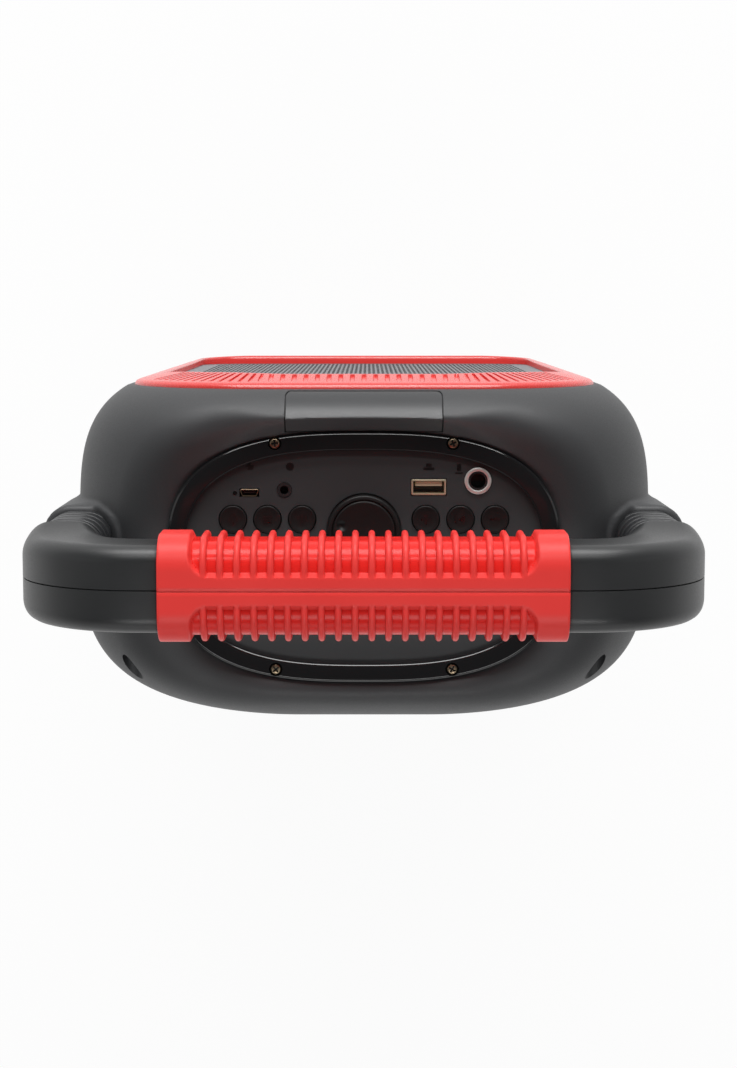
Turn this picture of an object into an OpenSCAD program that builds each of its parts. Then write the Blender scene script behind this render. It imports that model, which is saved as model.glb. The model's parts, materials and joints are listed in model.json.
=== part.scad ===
// Portable party speaker with a carrying handle over its control panel.
// Front is -Y, +X is to the right seen from the front, the floor is Z = 0.

/* [Cabinet] */
// Widest part of the cabinet
cabinet_w = 252; // [248:1:254]
// Height of the control panel's trim ring above the floor
panel_z = 395; // [390:1:400]
// Wall thickness of the cabinet
wall = 3.5; // [3:0.5:4]
// Depth from the middle of the cabinet to the front flange
front_y = 69.5; // [69:0.5:70]
// Depth from the middle of the cabinet to the back
rear_y = 76; // [75:0.5:77]
// Height of the rubber feet
foot_h = 8; // [6:1:9]

/* [Front] */
// Width of the gap that shows the cabinet round the red frame
reveal = 2.6; // [2.2:0.1:3]
// Width of the red frame at its top
frame_band = 22.3; // [22:0.1:23]
// Width of the red frame at its sides
frame_side = 9.5; // [9:0.5:10]
// Width of the red frame at its bottom
frame_low = 13; // [12:0.5:14]
// How far the red frame stands out of the front flange
frame_out = 6.4; // [6:0.1:7]
// Distance between the slots of the red frame
slot_pitch = 5; // [4.5:0.1:6]
// Width of one slot
slot_w = 2.5; // [2:0.1:3]
// Height of the woofer's axis
woofer_z = 136; // [134:1:138]
// Height of the tweeter's axis
tweeter_z = 320; // [318:1:321]

/* [Control panel] */
// Half width of the trim ring
ring_a = 82; // [81:0.5:83]
// Half depth of the trim ring
ring_b = 52.4; // [52:0.2:53]
// Width of the trim ring's band
ring_band = 7.3; // [7:0.1:7.6]
// Middle of the trim ring, front to back
panel_y = 0.4; // [0:0.1:0.8]
// Diameter of a button
button_d = 11.4; // [11:0.1:11.8]
// How far a button goes down
button_travel = 1; // [0.8:0.1:1.2]
// Diameter of the knob's skirt
knob_d = 30.4; // [30:0.2:31]

/* [Handle] */
// Middle of the handle, front to back
handle_y = 3.5; // [3.2:0.1:3.8]
// Outer half length of the handle bar
handle_x = 137.5; // [137:0.5:138]
// Depth of the handle bar, front to back
bar_d = 34; // [33.5:0.5:34.5]
// Height of the handle bar
bar_h = 32; // [31:0.5:33]
// Length of the red grip
grip_l = 157; // [154:1:160]
// Depth of the red grip, front to back
grip_d = 42; // [41.6:0.2:42.4]
// Height of the red grip
grip_h = 38; // [37:0.5:39]
// Number of ribs along the grip
grip_ribs = 20; // [18:1:22]

/* [Hidden] */
$fn = 64;
eps = 0.01;
gap = 0.3;
charcoal = "#3b3c3e";
jet = "#141415";
coral = "#e8453c";
steel = "#9a9da1";
brass = "#b08d4a";
board_green = "#1f4a34";
paper = "#26272a";

// Cabinet form: sections across Y, each a rectangle with round corners
plan_front = 82;
front_power = 4;
rear_power = 3.2;
crown = 14;
crown_power = 4;
crown_front = 72;
crown_drop_front = 60;
crown_drop_rear = 120;
base_drop = 45;
shoulder_ratio = 0.6;
base_ratio = 0.36;
ceiling_z = panel_z - 8;
loft_rings = 22;
corner_steps = 10;

// Front parts
flange_y = -front_y;
tray_y = -52;
tray_t = 5;
rebate = 2.5;
grille_t = 1.2;
slot_start = 4.2;
slot_end = 16.6;
fan_start = 38;
fan_short = 5.5;
sheet_lap = 2.9;

// Woofer
woofer_flange_r = 83;
woofer_cut_r = 74;
cone_r = 62;
coil_r = 12.9;
magnet_y = -9;
spider_y = -20;
surround_y = tray_y - 3;

// Tweeter and bass ports
tweeter_flange_r = 42;
tweeter_cut_r = 33;
port_r = 20;
port_x = 52;
port_z = 247;

// Control panel levels and places, from the ring's top
panel_top = panel_z - 3;
panel_t = 3;
seat_z = panel_top - panel_t;
ring_top = panel_z + 0.6;
ring_n = 2.75;
board_z = panel_z - 17;
board_t = 1.6;
board_top = board_z + board_t;
screw_x = 37;
screw_front = -47.5;
screw_rear = 47.4;
button_y = -15.6;
stem_r = 1.65;
stem_bottom = panel_z - 12.4;
switch_h = 4;
button_xs = [-54.7, -40.3, -25.8, 25.8, 40.3, 54.7];
knob_y = -10.8;
knob_top = panel_z + 3;
shaft_r = 3;
dc_at = [47.8, -26.7];
aux_at = [33.2, -27.9];
usb_at = [-27, -29];
mic_at = [-47.5, -31.7];
lamp_at = [53.8, -26.5];
usb_size = [14.5, 6.6];
dc_size = [7.8, 3.1];

// Handle levels
bar_z = panel_z + 60;
bend_r = 52;
arm_top = bar_z + bar_h / 2 - bend_r;
arm_x = 120;
arm_d = 42.6;
bar_r = 9;
grip_r = 13;
flare_h = 22;
flare_steps = 5;
flare_sunk = 0.3;
collar_size = [28.6, 42.4];
collar_r = 11;
collar_bottom = panel_z - 17;
collar_grooves = 4;
groove_pitch = 9.5;
groove_h = 3.6;
groove_depth = 2;
post_size = [14, 26];
post_bottom = panel_z - 58;
post_top = arm_top + 18;
socket_size = [33.4, 47];
socket_r = 12;
socket_x = 119.7;
socket_bottom = panel_z - 100;
socket_taper = 36;
well_x = 99;
well_z = panel_z - 18;
well_r = 4.4;
well_floor = 22;
lug_h = 10;
lug_back = handle_y + 12.9;
lug_in = 93;
seam = 0.1;
cross_y = handle_y + bar_d / 2 - 2.6;
cross_z = arm_top + 8;
rib_w = 2.6;
rib_zone = 126;
band_half = 6;
recess = 2.4;

// Boards and battery
amp_size = [116, 88];
amp_y = 60;
amp_z = 182;
board_post_x = 50;
board_post_zs = [190, 262];
battery_size = [116, 36, 58];
battery_y = 8;
battery_z = foot_h + 8;
strap_x = 67;
strap_y = 23;
strap_w = 13;
strap_t = 2;

// Feet
foot_r = 15;
foot_x = 66;
foot_y = 38;

// Superellipse outline
function oval(a, b, n, steps = 72) = [
  for (i = [0 : steps - 1])
    let (t = 360 * i / steps, c = cos(t), s = sin(t))
    [a * sign(c) * pow(abs(c), 2 / n), b * sign(s) * pow(abs(s), 2 / n)]
];

// Share of the full size that is left at a fraction of the reach
function taper(f, n) = pow(max(0, 1 - pow(abs(f), n)), 1 / n);

// Half width, top and bottom of the cabinet at depth y, drawn in by an inset
function half_w(y, inset) = (cabinet_w / 2 - inset)
  * (y < 0 ? taper(y / (plan_front - inset), front_power)
           : taper(y / (rear_y - inset), rear_power));
function crown_left(y, inset) = y < 0 ? taper(y / (crown_front - inset), crown_power)
  : taper(y / (rear_y - inset), crown_power);
function top_at(y, inset) = panel_z + crown - inset
  - (y < 0 ? crown_drop_front : crown_drop_rear) * (1 - crown_left(y, inset));
function bottom_at(y, inset) = foot_h + inset + base_drop * (1 - crown_left(y, inset));

// One section of the cabinet as points round a rectangle with round corners
function section_points(y, w, lo, hi, r_low, r_high) = [
  for (corner = [0 : 3], step = [0 : corner_steps])
    let (
      turn = 90 * corner + 90 * step / corner_steps,
      r = corner < 2 ? r_high : r_low,
      x0 = (corner == 0 || corner == 3 ? 1 : -1) * (w - r),
      z0 = corner < 2 ? hi - r : lo + r
    )
    [x0 + r * cos(turn), y, z0 + r * sin(turn)]
];

// Solid through the sections between two depths
module loft(inset, y0, y1, lid) {
  reach = rear_y - inset;
  turn0 = asin(y0 / reach);
  turn1 = asin(y1 / reach);
  n = 4 * (corner_steps + 1);
  rings = [
    for (i = [0 : loft_rings])
      let (
        y = reach * sin(turn0 + (turn1 - turn0) * i / loft_rings),
        w = half_w(y, inset),
        hi = min(lid, top_at(y, inset)),
        r_high = min(shoulder_ratio * w, (hi - bottom_at(y, inset)) / 2 - 1)
      )
      section_points(y, w, bottom_at(y, inset), hi, base_ratio * w, r_high)
  ];
  sides = [
    for (i = [0 : loft_rings - 1], j = [0 : n - 1], half = [0, 1])
      let (a = i * n + j, b = i * n + (j + 1) % n, c = b + n, d = a + n)
      half == 0 ? [a, b, c] : [a, c, d]
  ];
  front = [for (j = [n - 1 : -1 : 0]) j];
  back = [for (j = [0 : n - 1]) loft_rings * n + j];
  polyhedron([for (ring = rings) each ring], concat([front], sides, [back]));
}

// Rectangle with round corners, centred
module round_rect(w, h, r) {
  square([w - 2 * r, h], center = true);
  square([w, h - 2 * r], center = true);
  for (sx = [-1, 1], sy = [-1, 1])
    translate([sx * (w / 2 - r), sy * (h / 2 - r)])
      circle(r);
}

// Edges and corner radii of the front outline
function to_tenth(v) = round(v * 10) / 10;
front_w = to_tenth(half_w(flange_y, 0));
front_hi = to_tenth(top_at(flange_y, 0));
front_lo = to_tenth(bottom_at(flange_y, 0));
front_r_hi = to_tenth(shoulder_ratio * front_w);
front_r_lo = to_tenth(base_ratio * front_w);

// Upright outline with one radius at its low corners and another at its high ones
module upright_outline(w, lo, hi, r_lo, r_hi) {
  translate([-w, lo + r_lo])
    square([2 * w, hi - r_hi - lo - r_lo]);
  translate([-w + r_hi, hi - r_hi - eps])
    square([2 * (w - r_hi), r_hi + eps]);
  translate([-w + r_lo, lo])
    square([2 * (w - r_lo), r_lo + eps]);
  for (s = [-1, 1]) {
    translate([s * (w - r_hi), hi - r_hi])
      circle(r_hi);
    translate([s * (w - r_lo), lo + r_lo])
      circle(r_lo);
  }
}

// Upright outline as a slab between two depths
module slab(y0, y1) {
  translate([0, y1, 0])
    rotate([90, 0, 0])
      linear_extrude(y1 - y0)
        children();
}

// The front outline drawn in by an inset
module front_slab(inset, y0, y1) {
  slab(y0, y1)
    upright_outline(front_w - inset, front_lo + inset, front_hi - inset,
      front_r_lo - inset, front_r_hi - inset);
}

// Cylinder along Y, and a shape turned round an axis along Y
module along_y(x, z, y0, y1, r) {
  translate([x, y0, z])
    rotate([-90, 0, 0])
      cylinder(r = r, h = y1 - y0);
}

module turned_y(z) {
  translate([0, 0, z])
    rotate([-90, 0, 0])
      rotate_extrude($fn = 96)
        children();
}

// Places round the front outline for fixings, at an inset
module round_front(inset, spots) {
  w = front_w - inset;
  for (spot = spots, s = [-1, 1])
    translate([spot[0] == 1 ? s * w : s * spot[0], 0, spot[1]])
      children();
}

// Superellipse plate of the control panel between two levels
module panel_plate(inset, z0, z1) {
  translate([0, panel_y, z0])
    linear_extrude(z1 - z0)
      polygon(oval(ring_a - inset, ring_b - inset, ring_n));
}

module ring_screw_places() {
  for (x = [-screw_x, screw_x], y = [screw_front, screw_rear])
    translate([x, y, 0])
      children();
}

// Profile of the inlay over the front shoulder and down to the trim ring
inlay_w = 65;
inlay_t = 1.6;
inlay_front = -68.9;
inlay_crest = -59.2;
inlay_back = -52.9;
function inlay_line(drop, back) = concat(
  [for (i = [0 : 6])
    let (y = inlay_front + (inlay_crest - inlay_front) * i / 6)
    [y, top_at(y, 0) - drop]],
  [[inlay_crest + 0.8, top_at(inlay_crest, 0) - 0.7 - drop], [back, panel_z + 0.2 - drop]]
);

module inlay_body(w, extra, lift) {
  top = inlay_line(-lift, inlay_back);
  low = inlay_line(inlay_t + extra, inlay_back);
  rotate([90, 0, 90])
    translate([0, 0, -w / 2])
      linear_extrude(w)
        polygon(concat(top, [for (i = [len(low) - 1 : -1 : 0]) low[i]]));
}

module cabinet() {
  color(charcoal)
    difference() {
      union() {
        difference() {
          loft(0, flange_y, rear_y * sin(86), panel_z + 100);
          loft(wall, -62, (rear_y - wall) * sin(86), ceiling_z);
        }
        for (s = [-1, 1])
          socket_pillar(s);
        intersection() {
          loft(1, -66, (rear_y - 1) * sin(86), panel_z + 100);
          for (s = [-1, 1])
            along_y(s * well_x, well_z, lug_back + 0.2, 70, well_r + 2.5);
        }
        ring_screw_places()
          translate([0, 0, panel_z - 18])
            cylinder(r = 3.8, h = 11);
        board_posts(amp_y + board_t, 73.5, 4);
        foot_places() {
          translate([0, 0, foot_h])
            cylinder(r = foot_r - 1, h = 6);
          translate([0, 0, foot_h + 1])
            cylinder(r = 6, h = 12);
        }
        strap_places()
          translate([0, 0, foot_h + 3])
            cylinder(r = 5, h = battery_z - foot_h - 3);
        for (x = [-40, 40])
          translate([x - 3, battery_y, foot_h + 3])
            cube([6, battery_size[1], battery_z - foot_h - 3]);
        round_front(6.5, baffle_spots)
          along_y(0, 0, flange_y + rebate, -54, 3.4);
      }
      front_slab(10, flange_y - 1, -60);
      front_slab(3.5, flange_y - 1, flange_y + rebate);
      dish();
      panel_plate(-0.4, seat_z, panel_z + 40);
      panel_plate(6, panel_z - 30, panel_z + 40);
      inlay_body(inlay_w + 0.8, 0.25, 30);
      for (s = [-1, 1]) {
        socket_room(s);
        along_y(s * well_x, well_z, well_floor, 90, well_r);
        along_y(s * well_x, well_z, 10, 30, 2.2);
      }
      ring_screw_places()
        translate([0, 0, panel_z - 15.5])
          cylinder(r = 1.45, h = 12);
      board_posts(amp_y - 2, amp_y + 10, 1.45);
      strap_places()
        translate([0, 0, battery_z - 5])
          cylinder(r = 1.45, h = 9);
      foot_places()
        translate([0, 0, foot_h - 1])
          cylinder(r = 1.75, h = 12);
      round_front(6.5, baffle_spots)
        along_y(0, 0, flange_y - 1, -57, 1.45);
    }
}

// Sloping ring of the top that leads down to the panel
module dish() {
  low = panel_z - 0.6;
  rise = 16;
  translate([0, panel_y, low])
    linear_extrude(rise, scale = [1 + 29 / ring_a, 1 + 14.6 / ring_b], slices = 1)
      polygon(oval(ring_a + 0.4, ring_b + 0.4, ring_n));
}

// Pillar on the cabinet's side that holds an arm of the handle
module socket_pillar(s) {
  translate([s * socket_x, handle_y, 0]) {
    translate([0, 0, socket_bottom + socket_taper])
      linear_extrude(collar_bottom - socket_bottom - socket_taper)
        round_rect(socket_size[0], socket_size[1], socket_r);
    hull() {
      translate([0, 0, socket_bottom + socket_taper])
        linear_extrude(eps)
          round_rect(socket_size[0], socket_size[1], socket_r, $fn = 32);
      translate([-s * 9, 0, socket_bottom])
        linear_extrude(eps)
          round_rect(socket_size[0] - 10, socket_size[1] - 10, socket_r - 2, $fn = 32);
    }
  }
}

// Room for the lug of a handle post
module lug_room(s) {
  low = post_bottom - gap;
  translate([s * (arm_x + lug_in) / 2, handle_y, low])
    linear_extrude(well_z + lug_h / 2 + gap - low)
      square([arm_x - lug_in + 2 * gap, post_size[1] + 0.4], center = true);
}

// Room in the cabinet for a handle post, its lug and the collar round it
module socket_room(s) {
  low = post_bottom - gap;
  translate([s * arm_x, handle_y, low])
    linear_extrude(80)
      round_rect(post_size[0] + 0.4, post_size[1] + 0.4, 3);
  lug_room(s);
  translate([s * arm_x, handle_y, collar_bottom])
    linear_extrude(60)
      round_rect(collar_size[0] + 0.8, collar_size[1] + 0.8, collar_r + 0.4);
}

baffle_spots = [[1, 90], [1, 165], [1, 240], [1, 310], [40, front_hi - 6.5], [45, front_lo + 6.5]];

module board_posts(y0, y1, r) {
  for (x = [-board_post_x, board_post_x], z = board_post_zs)
    along_y(x, z, y0, y1, r);
}

module foot_places() {
  for (x = [-foot_x, foot_x], y = [-foot_y, foot_y])
    translate([x, y, 0])
      children();
}

module front_baffle() {
  color(jet)
    difference() {
      union() {
        difference() {
          front_slab(3.8, flange_y, flange_y + rebate);
          front_slab(13.5, flange_y - 1, flange_y + rebate + 1);
        }
        difference() {
          front_slab(10.5, flange_y + rebate - eps, tray_y + tray_t);
          front_slab(13.5, flange_y - 1, tray_y);
        }
      }
      along_y(0, woofer_z, tray_y - 1, 0, woofer_cut_r);
      along_y(0, tweeter_z, tray_y - 1, 0, tweeter_cut_r);
      for (s = [-1, 1])
        along_y(s * port_x, port_z, tray_y - 1, 0, port_r + 2.1);
      round_front(6.5, baffle_spots)
        along_y(0, 0, flange_y - 1, -60, 1.7);
      round_front(6.5, baffle_spots)
        along_y(0, 0, flange_y - 1, flange_y + 1.2, 3.1);
      round_front(6.5, clip_spots)
        along_y(0, 0, flange_y - 1, -60, 1.75);
      woofer_screw_places(tray_y - 1, 0, 1.65);
      tweeter_screw_places(tray_y - 1, 0, 1.45);
    }
}

clip_spots = [[1, 128], [1, 203], [1, 276], [18, front_hi - 6.5], [20, front_lo + 6.5]];

module woofer_screw_places(y0, y1, r) {
  for (k = [0 : 7])
    along_y(78.5 * cos(22.5 + 45 * k), woofer_z + 78.5 * sin(22.5 + 45 * k), y0, y1, r);
}

module tweeter_screw_places(y0, y1, r) {
  for (k = [0 : 3])
    along_y(38 * cos(45 + 90 * k), tweeter_z + 38 * sin(45 + 90 * k), y0, y1, r);
}

// Section of the red frame: inward distance from its outer edge, and depth
function frame_section(r) = [
  for (p = [
    [0, 0], [0, -1.2], [0.5, -1.9], [1.6, -2.3], [3.2, -2.6], [18.9, 0.1 - frame_out],
    [19.4, -frame_out], [frame_band + 1, -frame_out], [frame_band + 1, 0]
  ]) [r - p[0], flange_y + p[1]]
];

// Edges and corners of the red frame
frame_w = front_w - reveal;
frame_hi = front_hi - reveal;
frame_lo = front_lo + reveal;
frame_r_hi = front_r_hi - reveal;
frame_r_lo = front_r_lo - reveal;

// Opening of the frame, larger by grow
open_r_hi = 62;
open_r_lo = 24;
module opening_slab(grow, y0, y1) {
  slab(y0, y1)
    upright_outline(frame_w - frame_side + grow, frame_lo + frame_low - grow, frame_hi - frame_band + grow,
      open_r_lo + grow, open_r_hi + grow);
}

module frame_corner(x, z, r, up) {
  translate([x, 0, z])
    mirror([0, 0, up ? 1 : 0])
      rotate([-90, 0, 0])
        rotate_extrude(angle = 90)
          polygon(frame_section(r));
}

// One slot across the face of the frame, outward along +X
module frame_slot(end) {
  translate([-end, flange_y - 12, -slot_w / 2])
    cube([end - slot_start, 9.6, slot_w]);
}

// Slots along the straight top of length l
module slot_row(l) {
  count = floor(l / slot_pitch);
  for (i = [0 : count])
    translate([0, 0, (i - count / 2) * l / count])
      frame_slot(slot_end);
}

// Slots round a high corner of radius r, shorter where the frame grows narrow
module slot_fan(x, z, r) {
  count = round(r * 1.5708 / slot_pitch);
  for (i = [ceil(count * fan_start / 90) : count - 1])
    translate([x, 0, z])
      rotate([0, -90 * i / count, 0])
        translate([r, 0, 0])
          frame_slot(slot_end - fan_short * (1 - i / count) * 90 / (90 - fan_start));
}

// Straight side and corners of the frame on the right
module frame_right() {
  side = frame_hi - frame_r_hi - frame_lo - frame_r_lo;
  translate([frame_w, 0, frame_lo + frame_r_lo])
    linear_extrude(side)
      polygon(frame_section(0));
  frame_corner(frame_w - frame_r_hi, frame_hi - frame_r_hi, frame_r_hi, true);
  frame_corner(frame_w - frame_r_lo, frame_lo + frame_r_lo, frame_r_lo, false);
}

module grille_frame() {
  top = frame_w - frame_r_hi;
  low = frame_w - frame_r_lo;
  color(coral)
    difference() {
      union() {
        for (s = [0, 1])
          mirror([s, 0, 0])
            frame_right();
        translate([top, 0, frame_hi])
          rotate([0, -90, 0])
            linear_extrude(2 * top)
              polygon(frame_section(0));
        translate([-low, 0, frame_lo])
          rotate([0, 90, 0])
            linear_extrude(2 * low)
              polygon(frame_section(0));
        round_front(6.5, clip_spots)
          along_y(0, 0, flange_y - eps, flange_y + rebate - gap, 1.6);
      }
      opening_slab(0, flange_y - 12, flange_y + 1);
      opening_slab(sheet_lap + gap, flange_y - 1.8, flange_y + 1);
      for (s = [0, 1])
        mirror([s, 0, 0])
          slot_fan(top, frame_hi - frame_r_hi, frame_r_hi);
      translate([0, 0, frame_hi])
        rotate([0, -90, 0])
          slot_row(2 * top);
    }
}

module grille_mesh() {
  color(steel)
    opening_slab(sheet_lap, flange_y - 1.7, flange_y - 1.7 + grille_t);
}

module top_inlay() {
  color(charcoal)
    inlay_body(inlay_w, 0, 0);
}

module trim_ring() {
  color(jet)
    difference() {
      panel_plate(0, panel_top, ring_top);
      panel_plate(ring_band, panel_top - 1, ring_top + 1);
      ring_screw_places()
        translate([0, 0, panel_top - 1])
          cylinder(r = 1.6, h = 9);
      ring_screw_places()
        translate([0, 0, ring_top - 2.2])
          cylinder(r = 2.75, h = 9);
    }
}

module control_panel() {
  color("#2a2928")
    difference() {
      union() {
        panel_plate(0, seat_z, panel_top);
        standoff_places()
          translate([0, 0, board_top])
            cylinder(r = 2.6, h = seat_z - board_top + eps);
      }
      standoff_places()
        translate([0, 0, board_top - 1])
          cylinder(r = 1.05, h = 8);
      ring_screw_places()
        translate([0, 0, seat_z - 1])
          cylinder(r = 1.6, h = 9);
      for (x = button_xs)
        translate([x, button_y, seat_z - 1])
          cylinder(d = button_d + 0.7, h = 9);
      translate([0, knob_y, panel_top - 1.2])
        cylinder(d = knob_d + 1.2, h = 9);
      translate([0, knob_y, seat_z - 1])
        cylinder(r = 3.7, h = 9);
      translate([usb_at[0], usb_at[1], seat_z - 1])
        linear_extrude(9)
          square([usb_size[0] + 0.5, usb_size[1] + 0.5], center = true);
      translate([dc_at[0], dc_at[1], seat_z - 1])
        linear_extrude(9)
          square([dc_size[0] + 0.5, dc_size[1] + 0.5], center = true);
      translate([aux_at[0], aux_at[1], seat_z - 1])
        cylinder(r = 3.15, h = 9);
      translate([mic_at[0], mic_at[1], seat_z - 1])
        cylinder(r = 4.55, h = 9);
      translate([lamp_at[0], lamp_at[1], seat_z - 1])
        cylinder(r = 1, h = 9);
    }
}

// Pan-head screw with a cross recess, head up, along -Z
module screw(head_r, head_h, shank_r, length) {
  difference() {
    union() {
      rotate_extrude()
        polygon([
          [0, 0], [head_r, 0], [head_r, head_h * 0.55],
          [head_r * 0.8, head_h * 0.9], [head_r * 0.5, head_h], [0, head_h]
        ]);
      translate([0, 0, -length])
        cylinder(r = shank_r, h = length + eps);
    }
    for (turn = [0, 90])
      rotate([0, 0, turn])
        translate([-head_r * 0.62, -head_r * 0.13, head_h * 0.45])
          cube([head_r * 1.24, head_r * 0.26, head_h]);
  }
}

module screw_to_rear(x, y, z, head_r, head_h, shank_r, length) {
  translate([x, y, z])
    rotate([90, 0, 0])
      screw(head_r, head_h, shank_r, length);
}

module ring_screws() {
  color(brass)
    ring_screw_places()
      translate([0, 0, ring_top - 2.2])
        rotate([0, 0, 30])
          screw(2.3, 1.9, 1.4, 13);
}

module volume_knob() {
  top_r = knob_d / 2 - 1.9;
  color("#232222")
    translate([0, knob_y, 0])
      difference() {
        rotate_extrude($fn = 96)
          polygon([
            [0, panel_top - 0.8], [knob_d / 2 - 0.5, panel_top - 0.8],
            [knob_d / 2, panel_top - 0.3], [knob_d / 2, panel_top + 1.2],
            [top_r + 0.5, knob_top - 0.5], [top_r, knob_top],
            [top_r - 0.6, knob_top], [0, knob_top - 0.7]
          ]);
        translate([9.6, -2.6, knob_top + 2.2])
          sphere(r = 3.8);
        translate([0, 0, panel_top - 2])
          cylinder(r = shaft_r + 0.02, h = 5);
      }
}

module knob_shaft() {
  color(steel)
    translate([0, knob_y, panel_z - 14])
      cylinder(r = shaft_r, h = 13.8);
}

module encoder() {
  color("#4a4c50")
    translate([0, knob_y, 0])
      difference() {
        union() {
          translate([-6.2, -6.5, board_top])
            cube([12.4, 13, 6]);
          translate([0, 0, board_top + 5])
            cylinder(r = 3.5, h = 5.6);
        }
        translate([0, 0, panel_z - 14.2])
          cylinder(r = shaft_r + 0.05, h = 20);
      }
}

// Button cap with a retaining flange and a stem that ends in the switch
module button(i) {
  r = button_d / 2;
  color("#242323")
    translate([button_xs[i], button_y, 0])
      rotate_extrude()
        polygon([
          [0, stem_bottom], [stem_r, stem_bottom], [stem_r, seat_z - 1.6],
          [r + 1.1, seat_z - 1.6], [r + 1.1, seat_z - gap], [r, seat_z - gap],
          [r, panel_top + 0.6], [r - 0.5, panel_top + 1], [r - 1.4, panel_top + 1],
          [0, panel_top + 0.8]
        ]);
}

module button_switches() {
  low = stem_bottom - button_travel - gap;
  color("#55575b")
    for (x = button_xs)
      translate([x, button_y, 0])
        difference() {
          translate([-3, -3, board_top])
            cube([6, 6, switch_h]);
          translate([0, 0, low])
            cylinder(r = stem_r + 0.07, h = 6);
        }
}

// Where the control board hangs from the panel
module standoff_places() {
  for (at = [[-58.5, 2.5], [58.5, 2.5], [8, -34]])
    translate([at[0], at[1], 0])
      children();
}

module control_board() {
  color(board_green)
    difference() {
      translate([0, 0, board_z]) {
        translate([-62, -21, 0])
          cube([124, 27, board_t]);
        translate([-37, -38, 0])
          cube([99, 17 + eps, board_t]);
      }
      standoff_places()
        translate([0, 0, board_z - 1])
          cylinder(r = 1.3, h = 5);
    }
}

module control_screws() {
  color(steel)
    standoff_places()
      translate([0, 0, board_z])
        rotate([180, 0, 0])
          screw(2.2, 1.5, 1, 7);
}

module usb_shell() {
  color(brass)
    translate([usb_at[0], usb_at[1], 0])
      difference() {
        translate([-usb_size[0] / 2, -usb_size[1] / 2, board_top])
          cube([usb_size[0], usb_size[1], panel_top + 0.3 - board_top]);
        translate([-usb_size[0] / 2 + 0.5, -usb_size[1] / 2 + 0.5, board_top + 1])
          cube([usb_size[0] - 1, usb_size[1] - 1, 30]);
      }
}

module usb_tongue() {
  color("#e8e8e6")
    translate([usb_at[0] - 5.6, usb_at[1] - 2.2, board_top + 1])
      cube([11.2, 1.8, 10]);
}

module charge_shell() {
  color(brass)
    translate([dc_at[0], dc_at[1], 0])
      difference() {
        translate([0, 0, board_top])
          linear_extrude(panel_top + 0.2 - board_top)
            round_rect(dc_size[0], dc_size[1], 0.8);
        translate([0, 0, board_top + 1])
          linear_extrude(30)
            round_rect(dc_size[0] - 0.7, dc_size[1] - 0.7, 0.5);
      }
}

module charge_tongue() {
  color(jet)
    translate([dc_at[0] - 2.6, dc_at[1] - 0.3, board_top + 1])
      cube([5.2, 0.6, 10]);
}

module charge_lamp() {
  color("#c8d2d8")
    translate([lamp_at[0], lamp_at[1], board_top])
      cylinder(r = 0.9, h = panel_top - 0.2 - board_top);
}

module aux_jack() {
  color(jet)
    translate([aux_at[0], aux_at[1], 0])
      difference() {
        union() {
          translate([-4, -6, board_top])
            cube([8, 12, 8]);
          translate([0, 0, board_top + 7])
            cylinder(r = 3, h = panel_top + 0.5 - board_top - 7);
        }
        translate([0, 0, board_top + 0.6])
          cylinder(r = 1.8, h = 30);
      }
}

module mic_jack() {
  color(jet)
    translate([mic_at[0], mic_at[1], 0])
      difference() {
        union() {
          translate([-7.5, -8, seat_z - 30])
            cube([15, 16, 25.5]);
          translate([0, 0, seat_z - 5])
            cylinder(r = 4.4, h = panel_top + 0.6 - seat_z + 5);
        }
        translate([0, 0, seat_z - 28])
          cylinder(r = 3.2, h = 60);
      }
}

module mic_ferrule() {
  color("silver")
    translate([mic_at[0], mic_at[1], panel_top])
      rotate_extrude()
        polygon([[4.42, 0], [5.6, 0], [5.6, 0.5], [5.1, 1], [4.42, 1]]);
}

// Basket: front flange, open cone of legs and a ring behind
module woofer_basket() {
  color("#1c1d1f")
    difference() {
      turned_y(woofer_z)
        polygon([
          [70, tray_y - 3], [woofer_flange_r, tray_y - 3], [woofer_flange_r, tray_y],
          [73.5, tray_y], [73.5, tray_y + 8], [45, magnet_y - 3], [45, magnet_y],
          [13.5, magnet_y], [13.5, magnet_y - 4], [38, magnet_y - 4],
          [40.5, spider_y], [42.8, spider_y], [71.2, tray_y + 7], [71.2, tray_y + 1], [70, tray_y + 1]
        ]);
      woofer_screw_places(tray_y - 9, 0, 2);
      for (turn = [0 : 60 : 300])
        translate([0, 0, woofer_z])
          rotate([0, turn, 0])
            translate([44, tray_y + 12, -10])
              cube([40, 18, 20]);
    }
}

module woofer_gasket() {
  color(jet)
    difference() {
      turned_y(woofer_z)
        polygon([[71.8, tray_y - 4.6], [81.5, tray_y - 4.6], [82, tray_y - 3], [71.8, tray_y - 3]]);
      woofer_screw_places(tray_y - 9, 0, 3.4);
    }
}

module woofer_magnet() {
  color("#303236")
    turned_y(woofer_z)
      polygon([[18, magnet_y], [46, magnet_y], [47, magnet_y + 1], [47, magnet_y + 17],
        [46, magnet_y + 18], [18, magnet_y + 18]]);
}

module woofer_yoke() {
  color(steel)
    turned_y(woofer_z)
      polygon([[0, magnet_y - 5], [11.6, magnet_y - 5], [11.6, magnet_y + 18],
        [43, magnet_y + 18], [43, magnet_y + 24], [0, magnet_y + 24]]);
}

// Half-round roll that lets the cone move
module woofer_surround() {
  mid_r = (cone_r + 71) / 2;
  roll_r = 4;
  skin = 0.9;
  color(paper)
    turned_y(woofer_z)
      difference() {
        union() {
          translate([mid_r, surround_y])
            circle(roll_r);
          translate([cone_r - 1, surround_y - skin])
            square([10.6, skin]);
        }
        translate([mid_r, surround_y])
          circle(roll_r - skin);
        translate([mid_r - 10, surround_y])
          square([20, 12]);
      }
}

module woofer_spider() {
  color("#b98d50")
    turned_y(woofer_z)
      polygon([[coil_r + 0.1, -22.4], [37, -20.6], [42.4, -20.6], [42.4, spider_y],
        [37, spider_y], [coil_r + 0.1, -21.8]]);
}

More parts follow.
